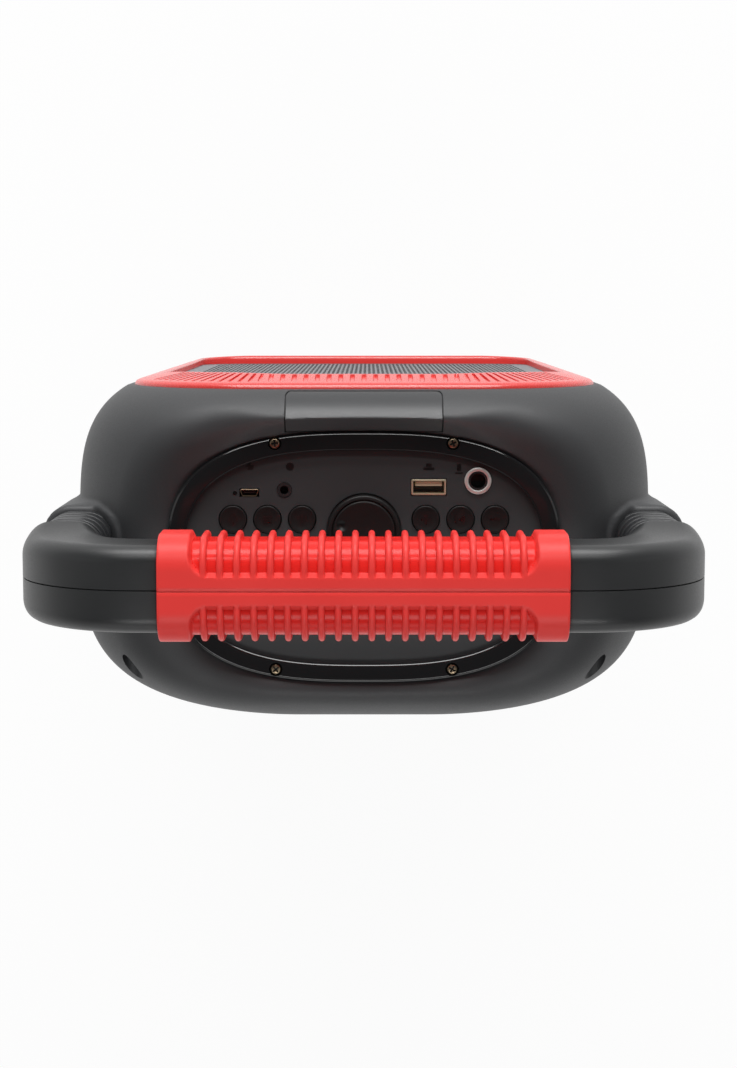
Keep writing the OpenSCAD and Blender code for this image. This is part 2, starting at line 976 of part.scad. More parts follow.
// Front face of the cone at a radius
cone_edge = cone_r - 1.1;
cone_neck = coil_r + 0.1;
cone_front = surround_y + 0.1;
cone_back = -30.2;
function cone_face(r) = cone_front + (cone_edge - r) / (cone_edge - cone_neck) * (cone_back - cone_front);

module woofer_cone() {
  color(paper)
    turned_y(woofer_z)
      polygon([[cone_edge, cone_front], [cone_r + 0.2, cone_front], [cone_r, cone_front + 1.1],
        [cone_neck + 0.9, -29], [cone_neck, -29], [cone_neck, cone_back]]);
}

module dust_cap() {
  r = 20;
  skin = 0.8;
  color(paper)
    turned_y(woofer_z)
      polygon([[0, -43], [6, -42.7], [12, -41.6], [17, -39.6], [r, -37.2],
        [r, cone_face(r) - 0.02], [r - skin, cone_face(r - skin) - 0.02], [r - skin, -36.8],
        [16.6, -38.8], [11.8, -40.7], [6, -41.8], [0, -42.1]]);
}

module voice_coil() {
  color(brass)
    turned_y(woofer_z)
      polygon([[12.3, -31], [coil_r, -31], [coil_r, -5], [12.3, -5]]);
}

module woofer_screws() {
  color("#2c2d30")
    for (k = [0 : 7])
      screw_to_rear(78.5 * cos(22.5 + 45 * k), tray_y - 3,
        woofer_z + 78.5 * sin(22.5 + 45 * k), 3, 2, 1.6, 10);
}

module tweeter_horn() {
  color("#1c1d1f")
    difference() {
      turned_y(tweeter_z)
        polygon([[13.5, -44], [15, -47.5], [19.5, -51], [27, -53.6], [36, -54.8],
          [tweeter_flange_r, -55], [tweeter_flange_r, tray_y], [32.5, tray_y],
          [32.5, tray_y + 3], [27, -44], [27, -41], [13.5, -41]]);
      tweeter_screw_places(tray_y - 9, 0, 1.6);
    }
}

module tweeter_dome() {
  color("#7d7f84")
    turned_y(tweeter_z)
      polygon([[0, -46], [5, -45.4], [9, -43.9], [12.6, -41], [12, -41], [8.6, -43.4],
        [4.8, -44.8], [0, -45.4]]);
}

module tweeter_magnet() {
  color("#303236")
    turned_y(tweeter_z)
      polygon([[0, -41], [26, -41], [26, -25], [25, -24], [0, -24]]);
}

module bass_ports() {
  color("#1c1d1f")
    for (s = [-1, 1])
      translate([s * port_x, 0, port_z])
        rotate([-90, 0, 0])
          rotate_extrude()
            polygon([[port_r, tray_y + 2], [port_r + 1.2, tray_y - 1], [port_r + 4.5, tray_y - 1.8],
              [port_r + 4.5, tray_y], [port_r + 2, tray_y], [port_r + 2, -4], [port_r, -4]]);
}

module baffle_screws() {
  color("#2c2d30") {
    round_front(6.5, baffle_spots)
      screw_to_rear(0, flange_y + 1.2, 0, 2.6, 1.1, 1.4, 9);
    for (k = [0 : 3])
      screw_to_rear(38 * cos(45 + 90 * k), -55, tweeter_z + 38 * sin(45 + 90 * k), 2.8, 1.8, 1.4, 10);
  }
}

module amplifier_board() {
  color(board_green)
    difference() {
      translate([-amp_size[0] / 2, amp_y, amp_z])
        cube([amp_size[0], board_t, amp_size[1]]);
      board_posts(amp_y - 9, amp_y + 9, 1.7);
    }
}

module heat_sink() {
  base_t = 4;
  fin_t = 2;
  fin_l = 18;
  fins = 9;
  sink = [60, 42];
  low = amp_z + 23;
  color(steel) {
    translate([-sink[0] / 2, amp_y - base_t, low])
      cube([sink[0], base_t, sink[1]]);
    for (i = [0 : fins - 1])
      translate([-sink[0] / 2 + i * (sink[0] - fin_t) / (fins - 1), amp_y - base_t - fin_l, low])
        cube([fin_t, fin_l + eps, sink[1]]);
  }
}

// Screws of the amplifier board and of the battery strap
module inner_screws() {
  color("#2c2d30") {
    for (x = [-board_post_x, board_post_x], z = board_post_zs)
      screw_to_rear(x, amp_y, z, 2.7, 1.8, 1.4, 9);
    strap_places()
      translate([0, 0, battery_z + strap_t])
        screw(2.7, 1.8, 1.4, 6);
  }
}

module battery_pack() {
  color("#2f5f9c")
    translate([-battery_size[0] / 2, battery_y, battery_z])
      cube(battery_size);
}

module strap_places() {
  for (s = [-1, 1])
    translate([s * strap_x, strap_y, 0])
      children();
}

// Strap over the battery, screwed to two bosses on the floor of the cabinet
module battery_strap() {
  inner = battery_size[0] / 2;
  foot = 15;
  high = battery_size[2] + strap_t;
  color(steel)
    difference() {
      translate([-inner - foot, strap_y - strap_w / 2, battery_z])
        cube([2 * (inner + foot), strap_w, high]);
      translate([-inner, strap_y - strap_w, battery_z - 1])
        cube([2 * inner, 2 * strap_w, battery_size[2] + 1]);
      for (s = [-1, 1])
        translate([s * (inner + strap_t + foot) - foot, strap_y - strap_w, battery_z + strap_t])
          cube([2 * foot, 2 * strap_w, high]);
      strap_places()
        translate([0, 0, battery_z - 1])
          cylinder(r = 1.7, h = 9);
    }
}

// Bar of the handle with its two bends, drawn in by an inset
module bar_solid(inset, reach) {
  translate([-reach, handle_y, bar_z])
    rotate([90, 0, 90])
      linear_extrude(2 * reach)
        round_rect(bar_d - 2 * inset, bar_h - 2 * inset, bar_r - inset);
}

module handle_bend(s, d, r) {
  translate([s * (handle_x - bend_r), handle_y, arm_top])
    rotate([90, 0, 0])
      mirror([s < 0 ? 1 : 0, 0, 0])
        rotate_extrude(angle = 90, $fn = 96)
          translate([bend_r - bar_h / 2, 0])
            round_rect(bar_h, d, r);
}

// Lower end of an arm, which grows deeper towards the collar
function flare_half(t) = bar_d / 2 - flare_sunk + (arm_d / 2 - bar_d / 2 + flare_sunk) * pow(1 - t, 2);

module arm_flare(s) {
  side = [for (i = [0 : flare_steps]) [flare_half(i / flare_steps), i * flare_h / flare_steps]];
  intersection() {
    handle_bend(s, arm_d, collar_r);
    translate([-200, handle_y, arm_top])
      rotate([90, 0, 90])
        linear_extrude(400)
          polygon(concat(side, [for (i = [flare_steps : -1 : 0]) [-side[i][0], side[i][1]]]));
  }
}

module post_room(s) {
  translate([s * arm_x, handle_y, arm_top - 1])
    linear_extrude(post_top - arm_top + 1.3)
      round_rect(post_size[0] + 0.4, post_size[1] + 0.4, 3);
}

// One half of the handle's shell, in front of the seam or behind it
module handle_half(side) {
  color(jet)
    difference() {
      union() {
        bar_solid(0, handle_x - bend_r);
        for (s = [-1, 1]) {
          handle_bend(s, bar_d, bar_r);
          arm_flare(s);
        }
      }
      bar_solid(3, handle_x - bend_r - 4);
      for (s = [-1, 1]) {
        post_room(s);
        along_y(s * arm_x, cross_z, cross_y, 60, 3.6);
        along_y(s * arm_x, cross_z, handle_y - 1, 60, 2.2);
        along_y(s * arm_x, cross_z, handle_y - bar_d / 2 + 1.2, handle_y, 1.85);
      }
      translate([-200, handle_y - seam + (side < 0 ? 0 : -200 + 2 * seam), panel_z])
        cube([400, 200, 200]);
    }
}

// Ribbed half sleeve round the bar
module grip_half(side) {
  step = rib_zone / grip_ribs;
  color(coral)
    difference() {
      translate([-grip_l / 2, handle_y, bar_z])
        rotate([90, 0, 90])
          linear_extrude(grip_l)
            round_rect(grip_d, grip_h, grip_r);
      bar_solid(-0.2, grip_l);
      translate([-200, handle_y - seam + (side < 0 ? 0 : -200 + 2 * seam), panel_z])
        cube([400, 200, 200]);
      for (i = [0 : grip_ribs])
        translate([(i - grip_ribs / 2 - 0.5) * step + rib_w / 2, handle_y, bar_z])
          rotate([90, 0, 90])
            linear_extrude(step - rib_w)
              recess_outline(side);
    }
}

// What is cut out between two ribs: the skin outside the flat band by the seam
module recess_outline(side) {
  difference() {
    translate([side < 0 ? -40 : band_half, -40])
      square([40 - band_half, 80]);
    round_rect(grip_d - 2 * recess, grip_h - 2 * recess, grip_r - recess);
  }
}

// Sleeve round a post with grooves that look like a bellows
module collar(s) {
  color(jet)
    difference() {
      translate([s * arm_x, handle_y, 0])
        difference() {
          translate([0, 0, collar_bottom])
            linear_extrude(arm_top - collar_bottom)
              round_rect(collar_size[0], collar_size[1], collar_r);
          translate([0, 0, collar_bottom - 1])
            linear_extrude(arm_top - collar_bottom + 2)
              round_rect(post_size[0] + 0.4, post_size[1] + 0.4, 3);
          for (i = [0 : collar_grooves - 1])
            translate([0, 0, arm_top - 9 - i * groove_pitch])
              linear_extrude(groove_h)
                difference() {
                  square([60, 60], center = true);
                  round_rect(collar_size[0] - 2 * groove_depth, collar_size[1] - 2 * groove_depth,
                    collar_r - groove_depth);
                }
        }
      lug_room(s);
    }
}

// Post that carries the handle, with a lug for the screw from behind
module post(s) {
  color("#2c2d30")
    difference() {
      union() {
        translate([s * arm_x, handle_y, post_bottom])
          linear_extrude(post_top - post_bottom)
            round_rect(post_size[0], post_size[1], 2.8);
        mirror([s < 0 ? 1 : 0, 0, 0])
          translate([lug_in, lug_back - 21, well_z - lug_h / 2])
            cube([arm_x - lug_in, 21, lug_h]);
      }
      translate([s * arm_x, handle_y, post_bottom - 1])
        linear_extrude(14)
          round_rect(post_size[0] - 7, post_size[1] - 8, 2);
      along_y(s * well_x, well_z, lug_back - 12, lug_back + 1, 2.05);
      along_y(s * arm_x, cross_z, handle_y - 40, handle_y + 40, 2.2);
    }
}

// Screws from behind through the shells and the posts
module handle_screws() {
  color(steel)
    for (s = [-1, 1])
      translate([s * arm_x, cross_y, cross_z])
        rotate([-90, 0, 0])
          screw(3.3, 2.2, 1.8, bar_d - 5);
}

module post_screws() {
  color(brass)
    for (s = [-1, 1])
      translate([s * well_x, well_floor, well_z])
        rotate([-90, 0, 0])
          screw(3.6, 2.4, 2, 14);
}

module rubber_feet() {
  color("#1a1a1b")
    foot_places()
      difference() {
        rotate_extrude()
          polygon([[0, 0], [foot_r - 2, 0], [foot_r - 1, 0.8], [foot_r, foot_h - 0.5],
            [foot_r - 0.5, foot_h], [0, foot_h]]);
        translate([0, 0, -1])
          cylinder(r = 4.4, h = 5);
        translate([0, 0, -1])
          cylinder(r = 2.1, h = 20);
      }
}

module foot_screws() {
  color(steel)
    foot_places()
      translate([0, 0, 4])
        rotate([180, 0, 0])
          screw(3.4, 2.2, 1.7, 13);
}

cabinet();
front_baffle();
grille_frame();
grille_mesh();
top_inlay();
trim_ring();
control_panel();
ring_screws();
volume_knob();
knob_shaft();
encoder();
button(0);  // button_1
button(1);  // button_2
button(2);  // button_3
button(3);  // button_4
button(4);  // button_5
button(5);  // button_6
button_switches();
control_board();
control_screws();
usb_shell();
usb_tongue();
charge_shell();
charge_tongue();
charge_lamp();
aux_jack();
mic_jack();
mic_ferrule();
woofer_basket();
woofer_gasket();
woofer_magnet();
woofer_yoke();
woofer_surround();
woofer_spider();
woofer_cone();
dust_cap();
voice_coil();
woofer_screws();
tweeter_horn();
tweeter_dome();
tweeter_magnet();
bass_ports();
baffle_screws();
amplifier_board();
heat_sink();
inner_screws();
battery_pack();
battery_strap();
handle_half(-1);  // handle_front
handle_half(1);  // handle_rear
grip_half(-1);  // grip_front
grip_half(1);  // grip_rear
collar(-1);  // collar_left
collar(1);  // collar_right
post(-1);  // post_left
post(1);  // post_right
post_screws();
handle_screws();
rubber_feet();
foot_screws();
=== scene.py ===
"""Party speaker seen from above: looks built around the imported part.

Lengths are in millimetres until a mesh is made. Front is -Y, up is +Z.
"""
import json
import math

import bmesh
import bpy
import numpy as np
from mathutils import Matrix, Vector


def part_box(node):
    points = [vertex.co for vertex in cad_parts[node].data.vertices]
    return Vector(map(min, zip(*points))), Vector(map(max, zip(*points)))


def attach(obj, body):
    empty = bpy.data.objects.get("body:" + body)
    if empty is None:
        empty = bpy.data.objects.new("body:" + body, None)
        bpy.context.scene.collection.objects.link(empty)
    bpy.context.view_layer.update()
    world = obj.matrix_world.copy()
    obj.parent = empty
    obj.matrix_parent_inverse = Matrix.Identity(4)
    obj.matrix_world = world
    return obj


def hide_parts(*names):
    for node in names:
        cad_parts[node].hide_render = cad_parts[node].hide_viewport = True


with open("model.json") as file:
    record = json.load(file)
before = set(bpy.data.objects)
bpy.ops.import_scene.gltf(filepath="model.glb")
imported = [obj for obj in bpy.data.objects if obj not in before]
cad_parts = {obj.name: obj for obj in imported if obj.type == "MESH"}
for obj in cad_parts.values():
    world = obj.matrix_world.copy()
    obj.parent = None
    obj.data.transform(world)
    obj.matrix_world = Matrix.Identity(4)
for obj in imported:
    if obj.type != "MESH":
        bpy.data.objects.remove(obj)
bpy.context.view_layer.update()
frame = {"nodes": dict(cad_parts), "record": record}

MM = 0.001
scene = bpy.context.scene


def node_box(node):
    """Lowest and highest corner of a CAD node in millimetres."""
    lo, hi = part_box(node)
    return np.array(lo) / MM, np.array(hi) / MM


# Sizes read from the frame, with the few that no box shows
ring_lo, ring_hi = node_box("trim_ring")
RING_A, RING_B = (ring_hi[0] - ring_lo[0]) / 2, (ring_hi[1] - ring_lo[1]) / 2
PANEL_Y = (ring_hi[1] + ring_lo[1]) / 2
RING_PROUD = 0.6
PANEL_Z = ring_hi[2] - RING_PROUD
PANEL_TOP = ring_lo[2]
frame_lo, frame_hi = node_box("grille_frame")
FRAME_W, FRAME_TOP, FRAME_LOW = frame_hi[0], frame_hi[2], frame_lo[2]
grip_lo, grip_hi = node_box("grip_front")
GRIP_HALF = grip_hi[0]
handle_lo, handle_hi = node_box("handle_front")
HANDLE_X = handle_hi[0]
SEAM = 0.1
HANDLE_Y = handle_hi[1] + SEAM
ARM_D = 2 * (HANDLE_Y - handle_lo[1])
BAR_D, BAR_H, BAR_R = 34.0, 32.0, 6.5
GRIP_D, GRIP_H, GRIP_R = 2 * (HANDLE_Y - grip_lo[1]), grip_hi[2] - grip_lo[2], 13.0
ARM_TOP = handle_lo[2]
foot_hi = node_box("rubber_feet")[1]
FOOT_X, FOOT_Y = 66.0, 38.0
FOOT_R, FOOT_H = foot_hi[0] - FOOT_X, foot_hi[2]

# Cabinet: how its section narrows, lifts and drops towards front and back, and how round its corners are
HALF_W = 126.0
REAR_Y = 76.0
FRONT_REACH, LIFT_REACH = 82.0, 72.0
FRONT_POWER, REAR_POWER, LIFT_POWER = 4, 3.2, 4
BELLY_LIFT, FRONT_DROP, REAR_DROP = 45, 60, 120
LOW_ROUND, HIGH_ROUND = 0.36, 0.6
CROWN = 14.0
FLANGE_Y = -69.5
REVEAL = 2.6

# Dish: how it widens and rises outside the ring, and how soft its rim is in front, at the sides and behind
DISH_GAP, DISH_SUNK = 0.4, 0.6
DISH_WIDE_X, DISH_WIDE_Y, DISH_RISE = 29, 14.6, 16
DISH_WALL, DISH_DEEP, DISH_SHARE = 26, 10, 0.8
RIM_SOFT, RIM_SOFT_SIDE, RIM_SOFT_REAR = 3, 13, 10
RIM_SIDE, RIM_REAR = (34, 66), (0, 45)

# Handle, collars, the bosses that carry them and the screw wells behind
BAR_Z = PANEL_Z + 60
BEND_R = 36.0
ARM_X = 120.0
FLARE_H = 22.0
COLLAR_W, COLLAR_D, COLLAR_R = 28.6, 42.4, 11.0
BOSS_X, BOSS_TOP, BOSS_LOW = 119.7, PANEL_Z - 17, PANEL_Z - 100
BOSS_W, BOSS_D, BOSS_R = 16.7, 23.5, 12
BOSS_TAPER_TOP, BOSS_TAPER_H, BOSS_LEAN, BOSS_SHRINK = PANEL_Z - 64, 36, 9, 5
BOSS_SOFT_FOOT, BOSS_SOFT_TOP, BOSS_SOFT_ROOT = 6, 3, 2.5
SKIRT_PROUD, SKIRT_SOFT, SKIRT_SOFT_ROOT = 1.3, 1.6, 2.0
WELL_X, WELL_Z, WELL_R, WELL_FLOOR, WELL_LONG = 99.0, PANEL_Z - 18, 4.4, 22.0, 70

# Control panel
RING_POWER = 2.75
RING_BAND = 7.3
BUTTON_XS = (-54.7, -40.3, -25.8, 25.8, 40.3, 54.7)
BUTTON_Y = -15.6
KNOB_Y = -10.8


# Colour and materials

def linear(code):
    """Linear colour with alpha from an sRGB hex code."""
    parts = [int(code[i:i + 2], 16) / 255 for i in (1, 3, 5)]
    return [p / 12.92 if p <= 0.04045 else ((p + 0.055) / 1.055) ** 2.4 for p in parts] + [1.0]


def add(nodes, kind, inputs=None, **settings):
    """One node with its settings and its inputs, which are values or sockets."""
    node = nodes.new(kind)
    for key, value in settings.items():
        setattr(node, key, value)
    for key, value in (inputs or {}).items():
        if isinstance(value, bpy.types.NodeSocket):
            nodes.id_data.links.new(value, node.inputs[key])
        else:
            node.inputs[key].default_value = value
    return node


PATCH = 30.0


def surface(name, light, dark, rough, grain, depth, spread=0.06, shine=0.5, metallic=0.0):
    """A material whose colour and roughness drift over patches and whose skin has a fine grain.

    grain is the size of the grain and depth its height in millimetres, shine the level of its reflection.
    """
    material = bpy.data.materials.new(name)
    material.use_nodes = True
    nodes = material.node_tree.nodes
    nodes.clear()
    place = add(nodes, "ShaderNodeTexCoord").outputs["Object"]
    drift = add(nodes, "ShaderNodeTexNoise", {"Vector": place, "Scale": 1 / (PATCH * MM), "Detail": 4.0})
    fine = add(nodes, "ShaderNodeTexNoise", {"Vector": place, "Scale": 1 / (grain * MM), "Detail": 2.0})
    colour = add(nodes, "ShaderNodeMix",
                 {"Factor": drift.outputs["Fac"], "A": linear(dark), "B": linear(light)}, data_type="RGBA")
    gloss = add(nodes, "ShaderNodeMapRange",
                {"Value": fine.outputs["Fac"], "From Min": 0.3, "From Max": 0.7,
                 "To Min": rough - spread, "To Max": rough + spread})
    bump = add(nodes, "ShaderNodeBump",
               {"Height": fine.outputs["Fac"], "Strength": 1.0, "Distance": depth * MM})
    colour_out = [s for s in colour.outputs if s.type == "RGBA"][0]
    bsdf = add(nodes, "ShaderNodeBsdfPrincipled",
               {"Base Color": colour_out, "Roughness": gloss.outputs["Result"],
                "Normal": bump.outputs["Normal"], "Specular IOR Level": shine, "Metallic": metallic})
    add(nodes, "ShaderNodeOutputMaterial", {"Surface": bsdf.outputs["BSDF"]})
    return material


# Charcoal ABS: fine matt spark-eroded grain that softens every highlight on the body
charcoal = surface("charcoal_abs", "#2d2e30", "#28292b", 0.56, 0.5, 0.012, shine=0.7)
# Plate in the front shoulder: the same plastic, smoother, so it mirrors the light in bands
plate_abs = surface("satin_plate_abs", "#2e2f31", "#292a2c", 0.40, 0.6, 0.006, shine=0.55)
# Coral polypropylene: saturated and satin, with soft pale highlights on ribs and edges
coral = surface("coral_polypropylene", "#e83f3b", "#e03834", 0.38, 0.5, 0.006, shine=0.24)
# Coral of the frame: the same plastic with a satin grain, so that its slope turns pale against the light
frame_coral = surface("satin_coral_polypropylene", "#d83a36", "#d03430", 0.25, 0.5, 0.002, shine=0.8)
# Floor of the grip's windows: the same red, polished so it mirrors the room in bands; its colour, a little
# deeper than the sleeve's, is painted shade in the recess
shaded_polished_red = surface("polished_red_polypropylene", "#e22b26", "#da2621", 0.22, 4.0, 0.001,
                   spread=0.03, shine=0.2)
# Polished black of the ring round the panel: deep, with one bright edge
ring_black = surface("polished_black_abs", "#1f1f20", "#1b1b1c", 0.14, 3.0, 0.001, spread=0.02, shine=0.14)
# Bevel on the ring's outer edge: buffed bright, the thin light line round the panel
ring_bevel = surface("buffed_black_abs", "#1a1a1b", "#161617", 0.10, 3.0, 0.001, spread=0.02, shine=0.7)
# Panel: near black, a little warm, satin
panel_black = surface("satin_black_panel", "#393b3c", "#343637", 0.46, 0.35, 0.010, shine=0.3)
# Keys and knob: as the panel, a touch smoother from use
key_black = surface("satin_black_keys", "#171515", "#131111", 0.44, 0.35, 0.006, shine=0.3)
# Marks on keys and panel: gloss print that shows only by its shine
mark_black = surface("gloss_print", "#0c0b0b", "#090808", 0.30, 2.0, 0.001, spread=0.04)
# Handle shell: dark grey-black nylon with a fine leather-like grain
nylon = surface("graphite_nylon", "#232425", "#1f2021", 0.40, 0.45, 0.010, shine=0.55)
# Collars: black rubbery plastic that swallows light in its grooves
bellows = surface("black_elastomer", "#232426", "#1e1f21", 0.46, 0.5, 0.012, shine=0.5)
# Plain black plastic of the inner parts; the same black is also painted as shade on the walls of the grille's
# holes and in the screws' cross recesses
black_plastic_and_shade = surface("black_abs", "#1b1b1c", "#161617", 0.45, 0.6, 0.010)
# Powder coat on the steel sheet of the grille: mid grey with a fine sparkle
grille_paint = surface("grey_powder_coat", "#74767a", "#6a6c70", 0.48, 0.4, 0.012, metallic=0.3)
# Plated brass of the sockets
brass = surface("plated_brass", "#ddd2b8", "#d0c2a2", 0.40, 0.8, 0.003, metallic=0.75)
# Bronze plated screws
bronze = surface("bronze_plated_steel", "#a08f78", "#8a7a64", 0.34, 0.6, 0.006, metallic=1.0)
# Bright nickel of the microphone socket's ring
nickel = surface("bright_nickel", "#eceae6", "#e2e0da", 0.36, 0.8, 0.002, metallic=0.7)
# Zinc plated steel
zinc = surface("zinc_plated_steel", "#a6a9ad", "#94979b", 0.34, 0.8, 0.006, metallic=1.0)
# Black coated steel of baskets and magnets
dark_steel = surface("black_coated_steel", "#2c2d30", "#232427", 0.40, 0.5, 0.010, metallic=0.3)
# Rubber of the feet and the woofer's roll
rubber = surface("black_rubber", "#191919", "#131313", 0.70, 0.6, 0.020)
# Pressed fibre cone
cone_fibre = surface("pressed_fibre", "#26272a", "#1d1e20", 0.75, 0.9, 0.060)
# Resin-stiffened cloth
cloth = surface("stiffened_cloth", "#b98d50", "#a37a42", 0.80, 0.8, 0.080)
# Solder mask on glass-fibre board
board = surface("green_solder_mask", "#1f4a34", "#173a28", 0.32, 1.5, 0.010)
# Extruded aluminium
aluminium = surface("extruded_aluminium", "#b3b6ba", "#a2a5a9", 0.32, 0.5, 0.006, metallic=1.0)
# Shrink film on the battery
film = surface("blue_shrink_film", "#2f5f9c", "#28528a", 0.25, 6.0, 0.050)
# Cream plastic of the data socket's tongue
cream = surface("cream_plastic", "#d9cdb2", "#cbbd9f", 0.45, 0.8, 0.006)
# Clear lens over the charge lamp
lens = surface("smoked_lens", "#141414", "#0e0e0e", 0.14, 1.0, 0.002)


# Meshes

def sheet(points, wrap_rows=False, wrap_columns=False):
    """Vertices and quads of a grid of points with shape (rows, columns, 3)."""
    rows, columns = points.shape[:2]
    i, j = np.meshgrid(np.arange(rows if wrap_rows else rows - 1),
                       np.arange(columns if wrap_columns else columns - 1), indexing="ij")
    across, up = (j + 1) % columns, (i + 1) % rows
    quads = np.stack([i * columns + j, i * columns + across, up * columns + across, up * columns + j], -1)
    return points.reshape(-1, 3), quads.reshape(-1, 4).tolist()


def hoop(points):
    """Closed loops in rows, the last one joined to the first."""
    return sheet(points, wrap_rows=True, wrap_columns=True)


def tube(points):
    """Closed loops in rows, with both ends capped."""
    verts, faces = sheet(points, wrap_columns=True)
    rows, columns = points.shape[:2]
    last = (rows - 1) * columns
    return verts, faces + [list(range(columns - 1, -1, -1)), list(range(last, last + columns))]


def joined(*parts):
    """Several (vertices, faces) as one."""
    verts, faces, start = [], [], 0
    for v, f in parts:
        v = np.asarray(v, float)
        verts.append(v)
        faces += [[k + start for k in face] for face in f]
        start += len(v)
    return np.concatenate(verts), faces


def build(name, shape, material=None, angle=32):
    """Object at the origin from millimetre vertices, welded, facing outward, sharp only over an angle."""
    verts, faces = shape
    mesh = bpy.data.meshes.new(name)
    mesh.from_pydata((np.asarray(verts) * MM).tolist(), [], faces)
    bm = bmesh.new()
    bm.from_mesh(mesh)
    bmesh.ops.remove_doubles(bm, verts=bm.verts, dist=2e-6)
    bmesh.ops.dissolve_degenerate(bm, edges=bm.edges, dist=1e-7)
    bmesh.ops.recalc_face_normals(bm, faces=bm.faces)
    bm.to_mesh(mesh)
    bm.free()
    if material:
        mesh.materials.append(material)
    obj = bpy.data.objects.new(name, mesh)
    scene.collection.objects.link(obj)
    soften(obj, angle)
    return obj


def soften(obj, angle):
    """Smooth shading that breaks at edges sharper than the angle."""
    obj.data.polygons.foreach_set("use_smooth", [True] * len(obj.data.polygons))
    obj.data.set_sharp_from_angle(angle=math.radians(angle))


def bake(obj):
    """The object's mesh with its modifiers applied and removed."""
    graph = bpy.context.evaluated_depsgraph_get()
    mesh = bpy.data.meshes.new_from_object(obj.evaluated_get(graph), depsgraph=graph)
    obj.modifiers.clear()
    old, obj.data = obj.data, mesh
    mesh.name = obj.name
    bpy.data.meshes.remove(old)


def second_material(obj, material, picks):
    """Gives a material to the faces that a test of their centre and normal picks."""
    obj.data.materials.append(material)
    for face in obj.data.polygons:
        face.material_index = int(picks(face.center / MM, face.normal))


def discard(obj):
    """Deletes a helper object with its mesh."""
    mesh = obj.data
    bpy.data.objects.remove(obj)
    bpy.data.meshes.remove(mesh)


def cut(obj, cutters, angle=32):
    """Takes the cutters' volumes out of the object."""
    for cutter in cutters:
        modifier = obj.modifiers.new("cut", "BOOLEAN")
        modifier.operation = "DIFFERENCE"
        modifier.solver = "EXACT"
        modifier.object = cutter
    bake(obj)
    for cutter in cutters:
        discard(cutter)
    soften(obj, angle)


def put(obj, body, slot, *nodes):
    """Ties a finished piece to its body and hides the CAD nodes it stands for; the slot is not used."""
    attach(obj, body)
    if nodes:
        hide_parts(*nodes)


def lathe(profile, steps=96, closed=False):
    """Shape turned round Z from (radius, height) pairs; a closed profile makes a ring."""
    turn = np.linspace(0, 2 * math.pi, steps, endpoint=False)
    r, z = np.array(profile, float).T
    points = np.stack([np.outer(r, np.cos(turn)), np.outer(r, np.sin(turn)), np.outer(z, np.ones(steps))], -1)
    return hoop(points) if closed else sheet(points, wrap_columns=True)


def moved(shape, x=0, y=0, z=0, turn=None):
    """A shape turned by a 3 x 3 matrix, then moved."""
    verts, faces = shape
    verts = np.asarray(verts, float)
    if turn is not None:
        verts = verts @ np.asarray(turn).T
    return verts + np.array([x, y, z]), faces


def fillet(centre, start, stop, radius, steps=5):
    """Points of an arc about a centre between two angles in degrees."""
    turn = np.radians(np.linspace(start, stop, steps))
    return [(centre[0] + radius * math.cos(a), centre[1] + radius * math.sin(a)) for a in turn]


def at_level(outline, z):
    """Points of an outline in plan at a level."""
    return np.column_stack([outline, np.full(len(outline), z)])


def prism(outline, z0, z1, soft=0.0):
    """Outline in plan between two levels, with a small chamfer at the top."""
    outline = np.asarray(outline, float)
    middle = outline.mean(0)
    inner = outline + (middle - outline) / np.linalg.norm(middle - outline, axis=1)[:, None] * soft
    levels = [(outline, z0), (outline, z1 - soft), (inner, z1)] if soft else [(outline, z0), (outline, z1)]
    return tube(np.stack([at_level(o, z) for o, z in levels]))


def rounded_loop(w, h, r, steps=10):
    """Points round a rectangle with round corners, centred, counter-clockwise from the right."""
    points = []
    for corner, (sx, sy) in enumerate(((1, 1), (-1, 1), (-1, -1), (1, -1))):
        points += fillet((sx * (w / 2 - r), sy * (h / 2 - r)), 90 * corner, 90 * corner + 90, r, steps)
    return np.array(points)


def oval(inset, steps=360):
    """Outline of the control panel, drawn in by an inset."""
    t = np.linspace(0, 2 * math.pi, steps, endpoint=False)
    c, s = np.cos(t), np.sin(t)
    return np.column_stack([(RING_A - inset) * np.sign(c) * np.abs(c) ** (2 / RING_POWER),
                            (RING_B - inset) * np.sign(s) * np.abs(s) ** (2 / RING_POWER) + PANEL_Y])


def smooth(a, b, v):
    """Smooth step of v from a to b."""
    t = np.clip((np.asarray(v, float) - a) / (b - a), 0, 1)
    return t * t * (3 - 2 * t)


def soft_min(a, b, k):
    """The lower of two fields, blended over a width k."""
    h = np.maximum(k - np.abs(a - b), 0) / k
    return np.minimum(a, b) - h * h * k / 4


def soft_max(a, b, k):
    """The higher of two fields, blended over a width k."""
    return -soft_min(-a, -b, k)


def edge_of(holds, low, high, shape, rounds=40):
    """Where a test that holds near low stops holding on the way to high, found by halving."""
    low, high = np.full(shape, low), np.full(shape, high)
    for _ in range(rounds):
        at = (low + high) / 2
        held = holds(at)
        low, high = np.where(held, at, low), np.where(held, high, at)
    return at


# Cabinet: one field, cut by rays from the middle of each section

def taper(f, n):
    """Share of the full size that is left at a fraction f of the reach."""
    return np.maximum(0, 1 - np.abs(f) ** n) ** (1 / n)


def section(y):
    """Half width, bottom and top of the cabinet at depth y."""
    w = HALF_W * np.where(y < 0, taper(y / FRONT_REACH, FRONT_POWER), taper(y / REAR_Y, REAR_POWER))
    lost = 1 - np.where(y < 0, taper(y / LIFT_REACH, LIFT_POWER), taper(y / REAR_Y, LIFT_POWER))
    return w, FOOT_H + BELLY_LIFT * lost, PANEL_Z + CROWN - np.where(y < 0, FRONT_DROP, REAR_DROP) * lost


def rounded(x, z, w, lo, hi, r_lo, r_hi):
    """Distance to a rectangle with one radius at its low corners and another at its high ones."""
    middle = (lo + hi) / 2
    r = np.where(z > middle, r_hi, r_lo)
    qx = np.abs(x) - w + r
    qz = np.abs(z - middle) - (hi - lo) / 2 + r
    return np.hypot(np.maximum(qx, 0), np.maximum(qz, 0)) + np.minimum(np.maximum(qx, qz), 0) - r


